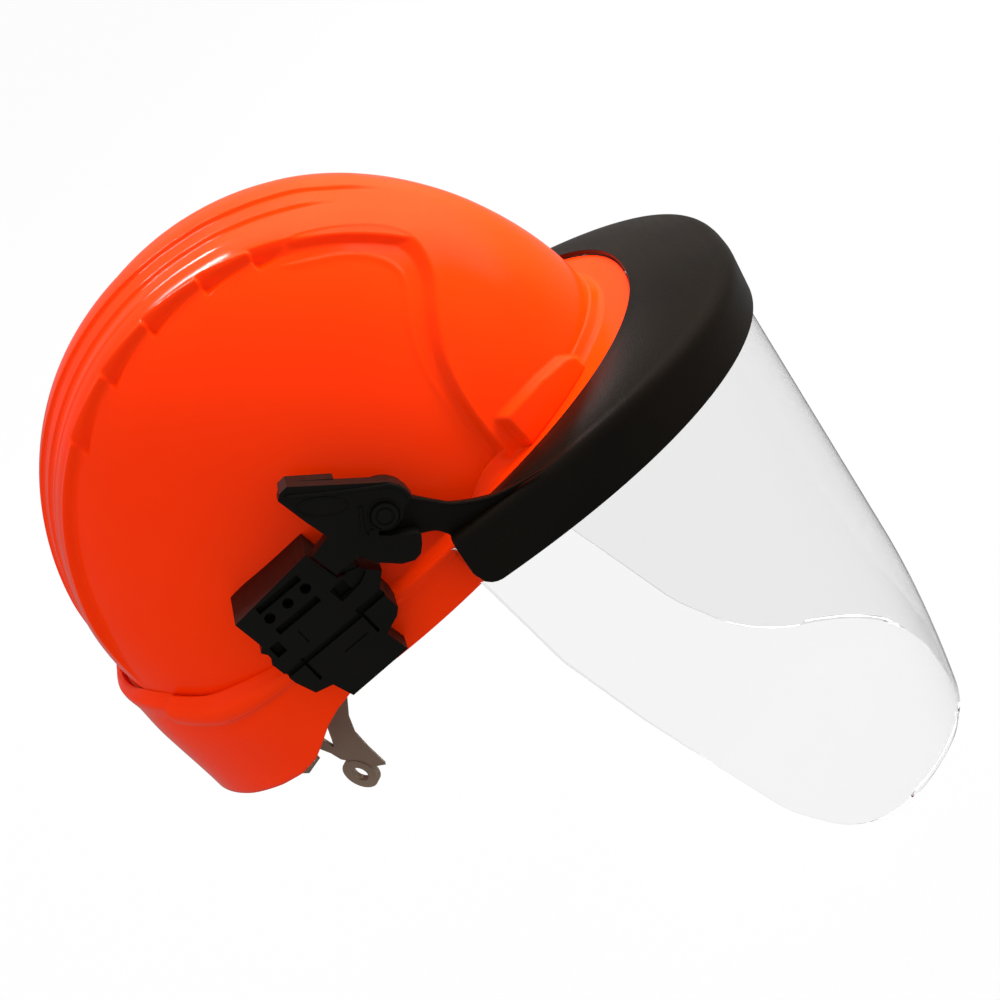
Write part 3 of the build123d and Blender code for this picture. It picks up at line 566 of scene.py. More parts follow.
def foot_points(angle, s):
    """Below the dome: a ledge and skirt at the sides and back, a brim in front. S is 1 at the rim."""
    cx = DOME_WIDTH * np.cos(angle)
    cy = DOME_LENGTH * np.sin(angle)
    side_y = DOME_Y + SKIRT * cy
    out = smoothstep(s, 0.0, LEDGE_SHARE)
    down = np.clip((s - SKIRT_START) / (1.0 - SKIRT_START), 0.0, 1.0)
    lift = LEDGE_LIFT * smoothstep(side_y, 88.0 * MM, 128.0 * MM)
    ledge_z = -LEDGE_DROP * np.clip(s / LEDGE_SHARE, 0, 1) ** 1.3 + lift * (1 - down)
    rear = smoothstep(side_y, 70.0 * MM, 120.0 * MM)
    ledge = LEDGE - 0.030 * rear
    side_r = 1.0 + (ledge - 1.0) * out + (SKIRT - LEDGE) * smoothstep(s, LEDGE_SHARE, 0.6)
    nape = smoothstep(side_y, 40.0 * MM, 95.0 * MM)
    side_r = side_r - (0.025 - 0.015 * rear) * nape * smoothstep(down, 0.3, 1.0)
    side_z = ledge_z + (rim_height(side_y) - ledge_z) * down ** 1.15
    sx = cx * side_r
    sy = DOME_Y + cy * side_r
    direction = np.arctan2(cy, cx)
    reach = brim_radius(direction)
    base = np.hypot(cx, cy)
    go = np.clip(s / BRIM_SHARE, 0.0, 1.0)
    front_r = base + (reach - base) * go
    fillet = BRIM_FILLET * (1 - np.clip(go / FILLET_SHARE, 0, 1)) ** 2
    front_z = fillet + BRIM_ROOT * (1 - go) + BRIM_Z * go
    lip = np.clip((s - BRIM_SHARE) / (1.0 - BRIM_SHARE), 0.0, 1.0)
    front_z = front_z - BRIM_LIP * lip
    fx = front_r * np.cos(direction)
    fy = DOME_Y * (1 - go) + front_r * np.sin(direction)
    front = smoothstep(-side_y, 40.0 * MM, 66.0 * MM)
    x = sx + (fx - sx) * front
    y = sy + (fy - sy) * front
    z = side_z + (front_z - side_z) * front
    return x, y, z


def front_relief(y, z):
    """Raised front of the dome, with a bead along each edge of the channel that bounds it."""
    upper = spline_through([
        (-40, 126), (-48, 117), (-60, 113), (-73, 105), (-86, 93.5), (-92.5, 82),
        (-90, 70), (-82, 61), (-74, 48), (-69.5, 32), (-68, 14), (-68, -30),
    ], 8) * MM
    lower = spline_through([
        (-40, 118), (-50, 111), (-67, 101), (-78, 91), (-82.5, 81), (-79, 73),
        (-74, 67), (-69, 58), (-66, 47), (-64, 30), (-63, 13), (-63, -30),
    ], 8) * MM
    far_corner = np.array([[-400, -30], [-400, 400], [-40, 400]]) * MM
    in_upper = inside_outline(y, z, np.vstack([upper, far_corner]))
    in_lower = inside_outline(y, z, np.vstack([lower, far_corner]))
    to_upper = distance_to_path(y, z, upper)
    to_lower = distance_to_path(y, z, lower)
    share = to_lower / np.maximum(to_upper + to_lower, 1e-9)
    share = np.where(in_upper, 1.0, np.where(in_lower, share, 0.0))
    rise = BAND_RISE * (0.25 * share + 0.75 * smoothstep(share, 0.3, 1.0))
    groove = CHANNEL_DEPTH * np.sin(math.pi * share)
    lower_bead = np.exp(-(to_lower / BEAD_WIDTH) ** 2)
    upper_bead = np.exp(-(to_upper / BEAD_WIDTH) ** 2)
    beads = EDGE_BEAD * (lower_bead + 0.6 * upper_bead)
    return (rise - groove + beads) * smoothstep(-y, 47.0 * MM, 53.0 * MM)


def crown_drop(ax, y, z):
    """The crown is flatter than the plain dome, least of all at the front."""
    at = np.array([-130, -95, -60, -20, 30, 80, 130]) * MM
    drop = np.array([1.6, 3.6, 5.4, 6.6, 6.6, 6.4, 6.2]) * MM
    low = 0.35 + 0.65 * smoothstep(z, 10.0 * MM, 60.0 * MM)
    return np.interp(y, at, drop) * low * smoothstep(47.0 * MM - ax, 0.0, 30.0 * MM)


def cut_scoops(height, ax, y, z):
    """Takes a row of scoops out of the band's edge, each deepest at its hooked rear end."""
    for end in SCOOP_ENDS:
        run = np.clip((y - (end - SCOOP_LENGTH)) / SCOOP_LENGTH, 0.0, 1.0)
        hook = smoothstep(end + 1.2 * MM - y, 0.0, 1.8 * MM)
        reach = SCOOP_WIDTH * (0.35 + 0.65 * run)
        off = (ax - BAND_EDGE) / reach
        across = smoothstep(1.0 - off, 0.0, 0.75) * smoothstep(off, -0.30, 0.10)
        top = smoothstep(z, 70.0 * MM, 80.0 * MM)
        height = height - SCOOP_DEPTH * run ** 1.2 * hook * across * top
    return height


def crown_steps(ax, y, z):
    """Three steps on the crown band. The narrowest starts furthest forward."""
    fade_rear = smoothstep(z + np.where(y < 0, 400.0 * MM, 0.0), 20.0 * MM, 60.0 * MM)
    first = smoothstep(10.5 * MM - ax, 0.0, 2.6 * MM) * smoothstep(y, -99.0 * MM, -84.0 * MM)
    second = smoothstep(22.5 * MM - ax, 0.0, 3.0 * MM) * smoothstep(y, -82.0 * MM, -66.0 * MM)
    third = smoothstep(34.0 * MM - ax, 0.0, 3.2 * MM) * smoothstep(y, -46.0 * MM, -26.0 * MM)
    return fade_rear * STEP_RISE * (0.9 * first + 0.8 * second + 0.35 * third)


def brim_pad(ax, y, z):
    """Raised pad beside the brim, whose top climbs from the front round to the side."""
    azimuth = np.degrees(np.arctan2(ax, -y))
    top = np.interp(azimuth, PAD_AZIMUTHS, PAD_TOPS)
    pad = smoothstep(azimuth, PAD_AZIMUTHS[0], PAD_AZIMUTHS[1] + 1.0)
    pad = pad * smoothstep(PAD_END - azimuth, 0.0, 1.2)
    pad = pad * smoothstep(top - z, 0.0, PAD_SLOPE) * smoothstep(-y, 0.0, 10.0 * MM)
    return PAD_RISE * pad


def shell_relief(x, y, z):
    """How far the dome's surface stands out from its plain form."""
    ax = np.abs(x)
    fade = smoothstep(z, BAND_FADE_LOW, BAND_FADE_HIGH)
    band = smoothstep(BAND_EDGE + BAND_SLOPE - ax, 0.0, BAND_SLOPE)
    height = np.maximum(band * fade * BAND_RISE, front_relief(y, z))
    edge = np.exp(-((ax - BAND_EDGE) / BEAD_WIDTH) ** 2) * smoothstep(y, -50.0 * MM, -42.0 * MM)
    height = height + EDGE_BEAD * edge * fade
    height = cut_scoops(height, ax, y, z) + crown_steps(ax, y, z)
    height = height - crown_drop(ax, y, z)
    return height + brim_pad(ax, y, z)


def ledge_relief(x, y, below):
    """Bead along the ledge, and the rib on it that ends towards the back. Below is 1 at the rim."""
    side = smoothstep(y, -66.0 * MM, -40.0 * MM)
    bead = LEDGE_BEAD * np.exp(-((below - LEDGE_BEAD_AT) / LEDGE_BEAD_SPREAD) ** 2) * side
    along = smoothstep(y, 30.0 * MM, 92.0 * MM)
    along = along * smoothstep(np.abs(x), RIB_END_X, RIB_END_X + RIB_END_SLOPE)
    across = smoothstep(below, 0.0, 0.05) * smoothstep(RIB_FOOT - below, 0.0, 0.06)
    return bead + RIB_RISE * along * across


def surface_normals(x, y, z):
    """Outward normals of a grid of points, closed along its second axis."""
    grid = np.stack([x, y, z], -1)
    around = np.roll(grid, -1, 1) - np.roll(grid, 1, 1)
    down = np.gradient(grid, axis=0)
    normal = np.cross(down, around)
    size = np.linalg.norm(normal, axis=-1, keepdims=True)
    normal = normal / np.maximum(size, 1e-12)
    normal[0] = (0.0, 0.0, 1.0)
    return normal


def shell_grid():
    """Points of the outside, row by row from the top to the rim."""
    angle = np.arange(AROUND) * 2 * math.pi / AROUND
    rise = np.linspace(0.0, 1.0, DOME_ROWS)
    a, r = np.meshgrid(angle, rise)
    dx, dy, dz = dome_points(a, r)
    s = np.linspace(0.0, 1.0, FOOT_ROWS + 1)[1:]
    a2, s2 = np.meshgrid(angle, s)
    fx, fy, fz = foot_points(a2, s2)
    x = np.vstack([dx, fx])
    y = np.vstack([dy, fy])
    z = np.vstack([dz, fz])
    return x, y, z


def make_shell(material):
    x, y, z = shell_grid()
    normal = surface_normals(x, y, z)
    row = np.arange(len(x))[:, None]
    on_dome = smoothstep(row.astype(float), DOME_ROWS + 9.0, DOME_ROWS - 3.0)
    below = np.clip(row - DOME_ROWS, 0, None) / FOOT_ROWS
    relief = shell_relief(x, y, z) * on_dome + ledge_relief(x, y, below)
    outer = np.stack([x, y, z], -1) + normal * relief[..., None]
    inner = np.stack([x, y, z], -1) - normal * SHELL_WALL
    pick = np.unique(np.linspace(0, len(x) - 1, INNER_ROWS).astype(int))
    inner = inner[pick]
    rows = len(outer)
    points = np.vstack([outer.reshape(-1, 3), inner.reshape(-1, 3)])
    faces = grid_faces(rows, AROUND)
    start = rows * AROUND
    faces += grid_faces(len(pick), AROUND, start, flip=True)
    rim_out = (rows - 1) * AROUND
    rim_in = start + (len(pick) - 1) * AROUND
    for j in range(AROUND):
        k = (j + 1) % AROUND
        faces.append((rim_out + j, rim_in + j, rim_in + k, rim_out + k))
    shell = mesh_object("hat_shell", points, faces, material)
    weld(shell)
    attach(shell, "hat")
    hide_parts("shell")


# ---------------------------------------------------------------- guard and shield

def ellipse_turn(width, length, power, angle):
    """Point of a superellipse's front half. Angle 0 is the left end, pi the right end."""
    c = math.cos(angle)
    s = max(math.sin(angle), 0.0)
    return math.copysign(width * abs(c) ** (2 / power), c), -length * s ** (2 / power)


def even_turns(width, length, power, end_y, count):
    """Angles that space points evenly along a superellipse in front of end_y."""
    trial = np.linspace(0.0, math.pi, 4001)
    spots = np.array([ellipse_turn(width, length, power, t) for t in trial])
    keep = spots[:, 1] <= end_y
    trial = trial[keep]
    spots = spots[keep]
    run = np.concatenate([[0.0], np.cumsum(np.hypot(*np.diff(spots, axis=0).T))])
    return np.interp(np.linspace(0.0, run[-1], count), run, trial)


def guard_point(angle, width, length, height):
    """Point of the guard's outline on its pitched plane, at a height above that plane."""
    x, y = ellipse_turn(width, length, GUARD_POWER, angle)
    c = math.cos(GUARD_PITCH)
    s = math.sin(GUARD_PITCH)
    return Vector((x, y * c - height * s, GUARD_CREASE_Z + y * s + height * c))


def guard_ring(angle, edge_angle, run):
    """Closed section across the guard. The run is the distance to its nearer end."""
    x, y = ellipse_turn(EDGE_WIDTH, EDGE_LENGTH, EDGE_POWER, edge_angle)
    edge = Vector((x, y, EDGE_Z))
    crease = guard_point(angle, GUARD_WIDTH, GUARD_LENGTH, 0.0)
    skirt = GUARD_SKIRT + GUARD_SKIRT_CHANGE * math.cos(angle) ** 2
    if run < GUARD_CORNER:
        skirt -= GUARD_CORNER - math.sqrt(GUARD_CORNER ** 2 - (GUARD_CORNER - run) ** 2)
    foot = guard_point(angle, GUARD_WIDTH - GUARD_TUCK_SIDE, GUARD_LENGTH - GUARD_TUCK_FRONT, -skirt)
    across = (crease - edge).normalized()
    down = (foot - crease).normalized()
    side = across.cross(down).normalized()
    span = (crease - edge).length
    drop = (foot - crease).length
    radius = min(GUARD_ROUND, 0.8 * drop)
    outer = []
    for t in (0.0, 0.03, 0.15, 0.35, 0.6, 0.8, 0.93, 1.0):
        crown = GUARD_CROWN * math.sin(math.pi * t) * (1 if t > 0.03 else 0.4)
        lift = down * -crown
        outer.append(edge + across * (span - radius) * t + lift)
    for k in range(1, 9):
        u = k / 8
        a = crease - across * radius
        b = crease + down * radius
        outer.append(a * (1 - u) ** 2 + crease * 2 * u * (1 - u) + b * u ** 2)
    for t in (0.4, 0.7, 0.92, 1.0):
        outer.append(crease + down * (radius + (drop - radius) * t))
    inner = []
    for k, point in enumerate(outer):
        before = outer[max(k - 1, 0)]
        after = outer[min(k + 1, len(outer) - 1)]
        inward = side.cross((after - before).normalized()).normalized()
        inner.append(point + inward * GUARD_WALL)
    return outer + inner[::-1]


def eye_outline(start, end, radius):
    """Round end of the arm about the pivot, between two directions in degrees."""
    spots = []
    for k in range(33):
        a = math.radians(start + (end - start) * k / 32)
        spots.append((PIVOT_Y + radius * math.cos(a), PIVOT_Z + radius * math.sin(a)))
    return spots


def arm_outline():
    """Arm from the guard's top up to its eye."""
    top = spline_through([
        (-32.0, 29.0), (-39.0, 19.0), (-44.0, 13.4), (-55.5, 6.2), (-66.0, 2.8), (-78.0, -0.8),
    ], 8)
    low = spline_through([
        (-78.0, -3.0), (-52.0, -2.5), (-40.0, -1.5), (-35.5, 2.0), (-33.8, 5.9), (-31.0, 10.0),
        (-24.4, 14.0),
    ], 8)
    eye = eye_outline(-70.0, 165.0, ARM_EYE)
    return [tuple(p * MM) for p in top] + [tuple(p * MM) for p in low] + eye


def make_guard(material):
    turns = even_turns(GUARD_WIDTH, GUARD_LENGTH, GUARD_POWER, GUARD_END_Y, GUARD_SECTIONS)
    edge_turns = even_turns(EDGE_WIDTH, EDGE_LENGTH, EDGE_POWER, GUARD_END_Y, GUARD_SECTIONS)
    spots = [Vector(ellipse_turn(GUARD_WIDTH, GUARD_LENGTH, GUARD_POWER, t)) for t in turns[:2]]
    step = (spots[1] - spots[0]).length
    rings = []
    for i, angle in enumerate(turns):
        run = min(i, len(turns) - 1 - i) * step
        rings.append(guard_ring(angle, edge_turns[i], run))
    points, faces = swept_solid(rings)
    guard = mesh_object("guard_moulding", points, faces, material)
    outward(guard)
    bevel_edges(guard, 0.7 * MM, 3, 50.0)
    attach(guard, "visor")
    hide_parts("brow_guard")
    for side, name in ((-1, "right"), (1, "left")):
        make_arm(name, side, material)


def make_arm(name, side, material):
    points, faces = extruded(arm_outline(), side * ARM_INNER_X, side * ARM_OUTER_X)
    arm = mesh_object("guard_arm_" + name, points, faces, material, smooth=False)
    outward(arm)
    bevel_edges(arm, 0.9 * MM, 4, 40.0)
    for polygon in arm.data.polygons:
        polygon.use_smooth = True
    ridge = arm_ridge("guard_arm_ridge_" + name, side, material)
    for piece in (arm, ridge):
        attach(piece, "visor")


def arm_ridge(name, side, material):
    """Raised bead along the arm's upper edge that runs out over the guard's top."""
    line = spline_through([
        (115.0, -33.5, 25.6), (115.6, -39.0, 18.6), (116.0, -44.0, 13.2), (116.6, -55.5, 6.2),
        (117.4, -66.0, 3.4), (118.4, -78.0, 1.6),
    ], 10) * MM
    rings = []
    for i, point in enumerate(line):
        taper = 1.0 - 0.75 * (i / (len(line) - 1)) ** 2
        ahead = line[min(i + 1, len(line) - 1)] - line[max(i - 1, 0)]
        ahead = Vector(ahead).normalized()
        out = Vector((1.0, 0.0, 0.0))
        up = out.cross(ahead).normalized()
        ring = []
        for k in range(10):
            a = 2 * math.pi * k / 10
            spoke = out * math.cos(a) * RIDGE_HALF_WIDTH + up * math.sin(a) * RIDGE_HALF_HEIGHT
            ring.append(Vector(point) + spoke * taper * MM)
        rings.append([Vector((side * p.x, p.y, p.z)) for p in ring])
    points, faces = swept_solid(rings)
    ridge = mesh_object(name, points, faces, material)
    outward(ridge)
    return ridge


def pane_point(angle, h, length):
    """Point of the pane at a drop h down its pitched plane."""
    x, y = ellipse_turn(SHIELD_WIDTH, length, SHIELD_POWER, angle)
    c = math.cos(SHIELD_PITCH)
    s = math.sin(SHIELD_PITCH)
    return Vector((x, y * c + h * s, SHIELD_ORIGIN_Z + y * s - h * c))


def pane_edge_y(z):
    """Where the pane's side edge is at a height, seen from the side."""
    at = np.array([-193.0, -149.0, -107.0, -66.0, -18.0, 4.0]) * MM
    y = np.array([-61.5, -51.0, -40.8, -33.0, -30.8, -31.5]) * MM
    return np.interp(z, at, y)


def pane_row(h, share, count):
    """One row of the pane at a drop h, narrowed to a share of its full run."""
    curl = SHIELD_CURL * max(h - SHIELD_CURL_START, 0.0) ** 2
    length = SHIELD_LENGTH - curl
    c = math.cos(SHIELD_PITCH)
    s = math.sin(SHIELD_PITCH)
    z = SHIELD_ORIGIN_Z - PANE_DEPTH * s - h * c
    local_y = (pane_edge_y(z) - h * s) / c
    turns = even_turns(SHIELD_WIDTH, length, SHIELD_POWER, local_y, PANE_SAMPLES)
    middle = (PANE_SAMPLES - 1) / 2
    places = middle + (np.linspace(-1.0, 1.0, count) * share) * middle
    angles = np.interp(places, np.arange(PANE_SAMPLES), turns)
    return [pane_point(a, h, length) for a in angles]


def make_pane(material):
    start = SHIELD_BOTTOM - SHIELD_CORNER
    points = []
    for i in range(PANE_ROWS):
        v = i / (PANE_ROWS - 1)
        h = SHIELD_TOP + (SHIELD_BOTTOM - SHIELD_TOP) * math.sin(v * math.pi / 2) ** 0.9
        over = max(h - start, 0.0) / SHIELD_CORNER
        share = 1.0 - SHIELD_CORNER_SHARE * (1.0 - math.sqrt(max(1.0 - over ** 2.2, 0.0)))
        for j, point in enumerate(pane_row(h, share, PANE_COLUMNS)):
            off = 2 * j / (PANE_COLUMNS - 1) - 1
            points.append(point - Vector((0.0, 0.0, FOOT_SAG * over ** 2 * (1 - off ** 2))))
    faces = grid_faces(PANE_ROWS, PANE_COLUMNS, closed=False)
    pane = mesh_object("shield_pane", points, faces, material)
    solid = pane.modifiers.new("thickness", "SOLIDIFY")
    solid.thickness = SHIELD_THICKNESS
    solid.offset = 1.0
    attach(pane, "visor")
    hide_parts("shield")


# ---------------------------------------------------------------- bracket trim

def bead_rings(line, side, width, height):
    """Sections of a rounded bead, half sunk in the bracket's outer face along a (y, z) path."""
    rings = []
    for i, (y, z) in enumerate(line):
        y0, z0 = line[max(i - 1, 0)]
        y1, z1 = line[min(i + 1, len(line) - 1)]
        run = Vector((0.0, y1 - y0, z1 - z0)).normalized()
        across = Vector((0.0, -run.z, run.y))
        ring = []
        for k in range(12):
            a = 2 * math.pi * k / 12
            spot = Vector((BRACKET_FACE, y, z)) + across * (math.cos(a) * width / 2)
            spot.x += math.sin(a) * height
            ring.append(Vector((side * spot.x, spot.y, spot.z)))
        rings.append(ring)
    return rings


def oval_line(middle, long_half, short_half, turn):
    """Closed oval path on the bracket's face."""
    spots = []
    for k in range(49):
        a = 2 * math.pi * k / 48
        u = long_half * math.cos(a)
        v = short_half * math.sin(a)
        y = middle[0] + u * math.cos(turn) - v * math.sin(turn)
        z = middle[1] + u * math.sin(turn) + v * math.cos(turn)
        spots.append((y * MM, z * MM))
    return spots


def make_bracket_trim(name, side, material):
    """Lip round the upper housing, hooked rib behind the pin, jaw edge, badge ring and pin collar."""
    lip = spline_through([
        (0.6, 62.4), (-13.5, 51.6), (-28.4, 41.2), (-31.2, 39.4), (-33.4, 36.0), (-34.2, 32.4),
        (-33.6, 29.8),
    ], 8) * MM
    rib = spline_through([
        (-17.7, 40.0), (-12.9, 33.2), (-11.6, 29.4), (-12.6, 28.2), (-14.9, 29.9),
    ], 8) * MM
    jaw = spline_through([
        (-15.6, 25.4), (-18.8, 22.2), (-23.8, 19.0), (-26.4, 16.9), (-26.7, 15.2),
    ], 8) * MM
    badge = oval_line((-6.9, 49.7), 9.9, 3.9, math.radians(39.5))
    collar = oval_line((PIVOT_Y / MM, PIVOT_Z / MM), COLLAR_RADIUS, COLLAR_RADIUS, 0.0)
    strips = ((lip, 1.8, 0.9), (rib, 1.5, 0.8), (jaw, 1.2, 0.6), (badge, 0.6, 0.35), (collar, 0.9, 0.5))
    points = []
    faces = []
    for line, width, height in strips:
        spots, cells = closed_tube(bead_rings(line, side, width * MM, height * MM))
        faces += [tuple(len(points) + i for i in cell) for cell in cells]
        points += spots
    trim = mesh_object("bracket_trim_" + name, points, faces, material)
    outward(trim)
    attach(trim, "hat")


# ---------------------------------------------------------------- harness

def wall_radius(azimuth):
    """How far out a hanger key's face stands, for a direction in degrees."""
    a = math.radians(azimuth)
    wide = DOME_WIDTH - SHELL_WALL * DOME_WIDTH / BASE_RADIUS
    long = DOME_LENGTH - SHELL_WALL * DOME_LENGTH / BASE_RADIUS
    p = (math.cos(a) / wide) ** 2 + (math.sin(a) / long) ** 2
    q = -2 * math.sin(a) * DOME_Y / long ** 2
    r = (DOME_Y / long) ** 2 - 1
    return (-q + math.sqrt(q * q - 4 * p * r)) / (2 * p) - HANGER_GAP


def strap_line(azimuth, top):
    """Middle of a strap in its own upright plane: distance out and height."""
    line = []
    for turn, order in ((azimuth, 1), (azimuth + 180.0, -1)):
        radius = wall_radius(turn) - STRAP_OFFSET
        side = [(radius, STRAP_FOOT), (radius, STRAP_FOOT * 2)]
        for i in range(25):
            t = math.pi / 2 * i / 24
            out = STRAP_FLAT + (radius - STRAP_FLAT) * math.cos(t) ** 0.9
            up = STRAP_BEND + (top - STRAP_BEND) * math.sin(t) ** 0.9
            side.append((out, up))
        if order > 0:
            line += side
        else:
            line += [(-out, up) for out, up in reversed(side)]
    return line


def make_strap(node, azimuth, material):
    """Woven tape with thicker selvedges along both edges."""
    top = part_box(node)[1][2] - STRAP_HALF_THICK
    line = strap_line(azimuth, top)
    a = math.radians(azimuth)
    out = Vector((math.cos(a), math.sin(a), 0.0))
    wide = Vector((-math.sin(a), math.cos(a), 0.0))
    section = []
    for across, half in ((-1.0, 0.35), (-0.96, 0.6), (-0.86, 0.6), (-0.80, 0.44), (0.0, 0.5)):
        section.append((across, half))
    section += [(-across, half) for across, half in reversed(section[:-1])]
    loop = section + [(across, -half) for across, half in reversed(section)]
    rings = []
    for i, (r, z) in enumerate(line):
        before = line[max(i - 1, 0)]
        after = line[min(i + 1, len(line) - 1)]
        run = Vector((after[0] - before[0], after[1] - before[1])).normalized()
        normal = out * run.y - Vector((0.0, 0.0, run.x))
        middle = out * r + Vector((0.0, 0.0, z))
        rings.append([middle + wide * (s * STRAP_HALF) + normal * (h * MM) for s, h in loop])
    points, faces = swept_solid(rings)
    strap = mesh_object(node + "_webbing", points, faces, material)
    outward(strap)
    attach(strap, "hat")
    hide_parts(node)


def band_point(angle, grow):
    """Plan of the head band: half an ellipse in front of its axis and half a circle behind."""
    reach = FRONT_REACH if math.sin(angle) < 0 else NAPE_RADIUS
    x = (NAPE_RADIUS + grow) * math.cos(angle)
    y = BAND_Y + (reach + grow) * math.sin(angle)
    return x, y


def padded_strip(name, angles, offset, half_depth, low, high, cells, material):
    """Quilted pad along the band: fabric over foam, pulled in at each stitched seam."""
    rings = []
    count = len(angles)
    for i, angle in enumerate(angles):
        along = i / (count - 1)
        seam = abs(math.sin(math.pi * along * cells)) ** 0.45
        end = min(along, 1 - along) * count / 8
        end = math.sqrt(min(end, 1.0) * (2 - min(end, 1.0)))
        ring = []
        for k in range(CUSHION_SIDES):
            a = 2 * math.pi * k / CUSHION_SIDES
            up = math.copysign(abs(math.sin(a)) ** 0.45, math.sin(a))
            depth = math.copysign(abs(math.cos(a)) ** 0.6, math.cos(a))
            plump = (0.45 + 0.55 * seam) * end
            grow = (offset + half_depth * (depth * plump)) * MM
            x, y = band_point(angle, grow)
            middle = (low + high) / 2
            half = (high - low) / 2 * (0.90 + 0.10 * seam) * (0.75 + 0.25 * end)
            ring.append(Vector((x, y, middle + up * half)))
        rings.append(ring)
    points, faces = closed_tube(rings)
    pad = mesh_object(name, points, faces, material)
    outward(pad)
    return pad


def make_sweatband(material):
    low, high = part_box("sweatband")
    angles = np.radians(np.linspace(198.0, 342.0, 221))
    pad = padded_strip(
        "sweatband_pad", angles, SWEATBAND_OFFSET, SWEATBAND_HALF, low[2], high[2], 9, material
    )
    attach(pad, "hat")
    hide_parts("sweatband")


def make_nape_pad(material):
    low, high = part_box("nape_pad")
    angles = np.radians(np.linspace(66.0, 114.0, 101))
    pad = padded_strip(
        "nape_cushion", angles, NAPE_PAD_OFFSET, NAPE_PAD_HALF, low[2], high[2], 3, material
    )
    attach(pad, "hat")
    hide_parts("nape_pad")


# ---------------------------------------------------------------- carried CAD nodes

def dress(names, material, width):
    """Gives CAD nodes their material and softened edges."""
    for name in names:
        piece = NODES[name]
        for slot in piece.material_slots:
            slot.material = material
        if not piece.material_slots:
            piece.data.materials.append(material)
        if width:
            bevel_edges(piece, width, 2, 32.0)


# ---------------------------------------------------------------- stage

def ray_level(tree, other, diffuse, glossy):
    """Brightness seen by the camera and through the pane, by diffuse rays and by glossy rays."""
    path = tree.nodes.new("ShaderNodeLightPath")
    soft = tree.nodes.new("ShaderNodeMapRange")
    soft.inputs["To Min"].default_value = other
    soft.inputs["To Max"].default_value = diffuse
    tree.links.new(path.outputs["Is Diffuse Ray"], soft.inputs["Value"])
    clear = tree.nodes.new("ShaderNodeMath")
    clear.operation = "SUBTRACT"
    clear.use_clamp = True
    tree.links.new(path.outputs["Is Glossy Ray"], clear.inputs[0])
    tree.links.new(path.outputs["Is Transmission Ray"], clear.inputs[1])
    gloss = tree.nodes.new("ShaderNodeMapRange")
    tree.links.new(clear.outputs["Value"], gloss.inputs["Value"])
    tree.links.new(soft.outputs["Result"], gloss.inputs["To Min"])
    gloss.inputs["To Max"].default_value = glossy
    return gloss.outputs["Result"]


def make_floor():
    """Plain pale floor just under the lowest point, lit from within like a light table."""
    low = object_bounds()[0][2]
    size = FLOOR_SIZE
    points = [(-size, -size, 0), (size, -size, 0), (size, size, 0), (-size, size, 0)]
    material, tree, shader = new_material("floor_white")
    shader.inputs["Base Color"].default_value = (FLOOR_SHADE, FLOOR_SHADE, FLOOR_SHADE, 1)
    shader.inputs["Roughness"].default_value = 1.0
    shader.inputs["Specular IOR Level"].default_value = 0.0
    shader.inputs["Emission Color"].default_value = (1, 1, 1, 1)
    glow = ray_level(tree, FLOOR_GLOW, FLOOR_FILL, FLOOR_GLOSS)
    tree.links.new(glow, shader.inputs["Emission Strength"])
    floor = mesh_object("floor", points, [(0, 1, 2, 3)], material, smooth=False)
    floor.location = (0.0, 0.0, low - FLOOR_GAP)


def make_world():
    """White surround, dimmed for glossy rays as black flags round a studio set do."""
    world = bpy.data.worlds.new("studio")
    bpy.context.scene.world = world
    world.use_nodes = True
    tree = world.node_tree
    back = tree.nodes["Background"]
    back.inputs["Color"].default_value = (1.0, 1.0, 1.0, 1)
    tree.links.new(ray_level(tree, WORLD_LEVEL, WORLD_FILL, WORLD_GLOSS), back.inputs["Strength"])


def area_light(name, place, aim, size, power):
    lamp = bpy.data.lights.new(name, "AREA")
    lamp.shape = "RECTANGLE"
    lamp.size = size[0]
    lamp.size_y = size[1]
    lamp.energy = power
    piece = bpy.data.objects.new(name, lamp)
    bpy.context.scene.collection.objects.link(piece)
    piece.location = place
    piece.rotation_euler = (Vector(aim) - Vector(place)).to_track_quat("-Z", "Y").to_euler()
    return piece


def light_place(up, right, behind):
    """Point round the hat, in the camera's own directions."""
    toward = CAMERA_RIGHT.cross(CAMERA_UP)
    return LIGHT_AIM + (CAMERA_UP * up + CAMERA_RIGHT * right - toward * behind) * LIGHT_REACH


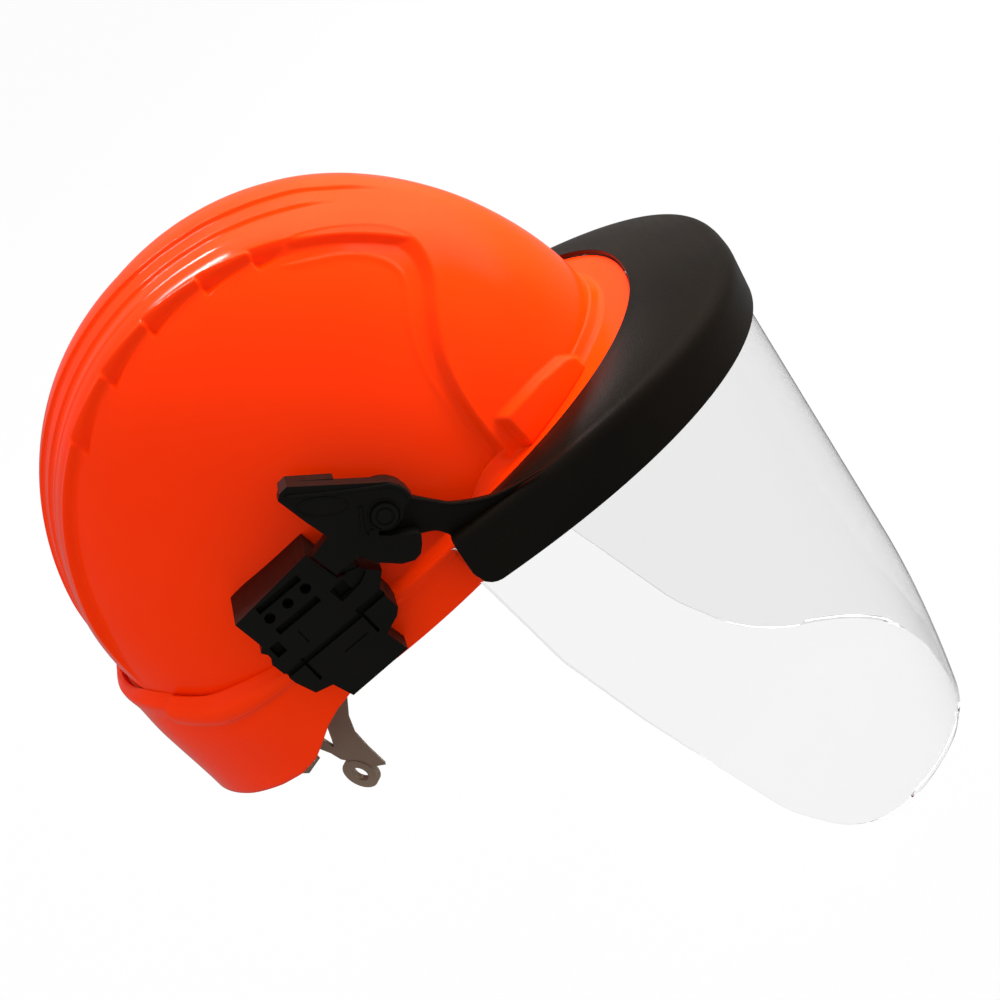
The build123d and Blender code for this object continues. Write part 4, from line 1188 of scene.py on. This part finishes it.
def make_lights():
    """A broad key over the hat, its highlights apart from it, and a strip that glints on the rear."""
    key = light_place(0.95, 0.10, 0.30)
    glint = light_place(0.75, -0.62, 0.26)
    area_light("key", key, LIGHT_AIM, KEY_SIZE, KEY_POWER).visible_glossy = False
    area_light("sheen", key, LIGHT_AIM, KEY_SIZE, SHEEN_POWER).visible_diffuse = False
    area_light("glint", glint, LIGHT_AIM, GLINT_SIZE, GLINT_POWER).visible_diffuse = False


def make_camera():
    lens = bpy.data.cameras.new("camera")
    lens.lens = CAMERA_LENS
    lens.sensor_width = 36.0
    lens.clip_end = 20.0
    camera = bpy.data.objects.new("camera", lens)
    bpy.context.scene.collection.objects.link(camera)
    back = CAMERA_RIGHT.cross(CAMERA_UP)
    turn = Matrix((CAMERA_RIGHT, CAMERA_UP, back)).transposed()
    camera.matrix_world = Matrix.Translation(CAMERA_AT) @ turn.to_4x4()
    bpy.context.scene.camera = camera


def main():
    orange = shell_plastic()
    nylon = black_plastic("black_nylon", (0.0042, 0.0040, 0.0028), 900.0, 0.0003, 0.36, 0.52)
    guard_black = black_plastic("guard_black", (0.0046, 0.0030, 0.0016), 1100.0, 0.0004, 0.30, 0.40)
    harness = black_plastic("harness_grey", (0.175, 0.125, 0.090), 700.0, 0.0004, 0.45, 0.62)
    tape = webbing()
    fabric = pad_fabric()
    steel = plated_steel()
    make_camera()
    make_shell(orange)
    make_guard(guard_black)
    make_pane(clear_pane())
    for side, name in ((-1, "right"), (1, "left")):
        make_bracket_trim(name, side, nylon)
    for node, azimuth in (("strap_cross", 0.0), ("strap_diagonal_a", 56.0), ("strap_diagonal_b", 124.0)):
        make_strap(node, azimuth, tape)
    make_sweatband(fabric)
    make_nape_pad(fabric)
    for side in ("left", "right"):
        dress(["adaptor_" + side, "bracket_" + side], nylon, 0.5 * MM)
        dress(["pivot_pin_" + side], nylon, 0.25 * MM)
        dress(["yoke_" + side, "tail_" + side], harness, 0.25 * MM)
    dress(["headband", "hanger_keys", "ratchet_base", "ratchet_cover"], harness, 0.3 * MM)
    dress(["yoke_rivets", "ratchet_pinion"], harness, 0.0)
    dress(["ratchet_knob"], nylon, 0.3 * MM)
    dress(["shield_studs"], nylon, 0.2 * MM)
    dress(["pivot_washers", "ratchet_screws", "detent_spring"], steel, 0.0)
    make_floor()
    make_world()
    make_lights()
    bpy.context.scene.view_settings.view_transform = "Standard"


main()
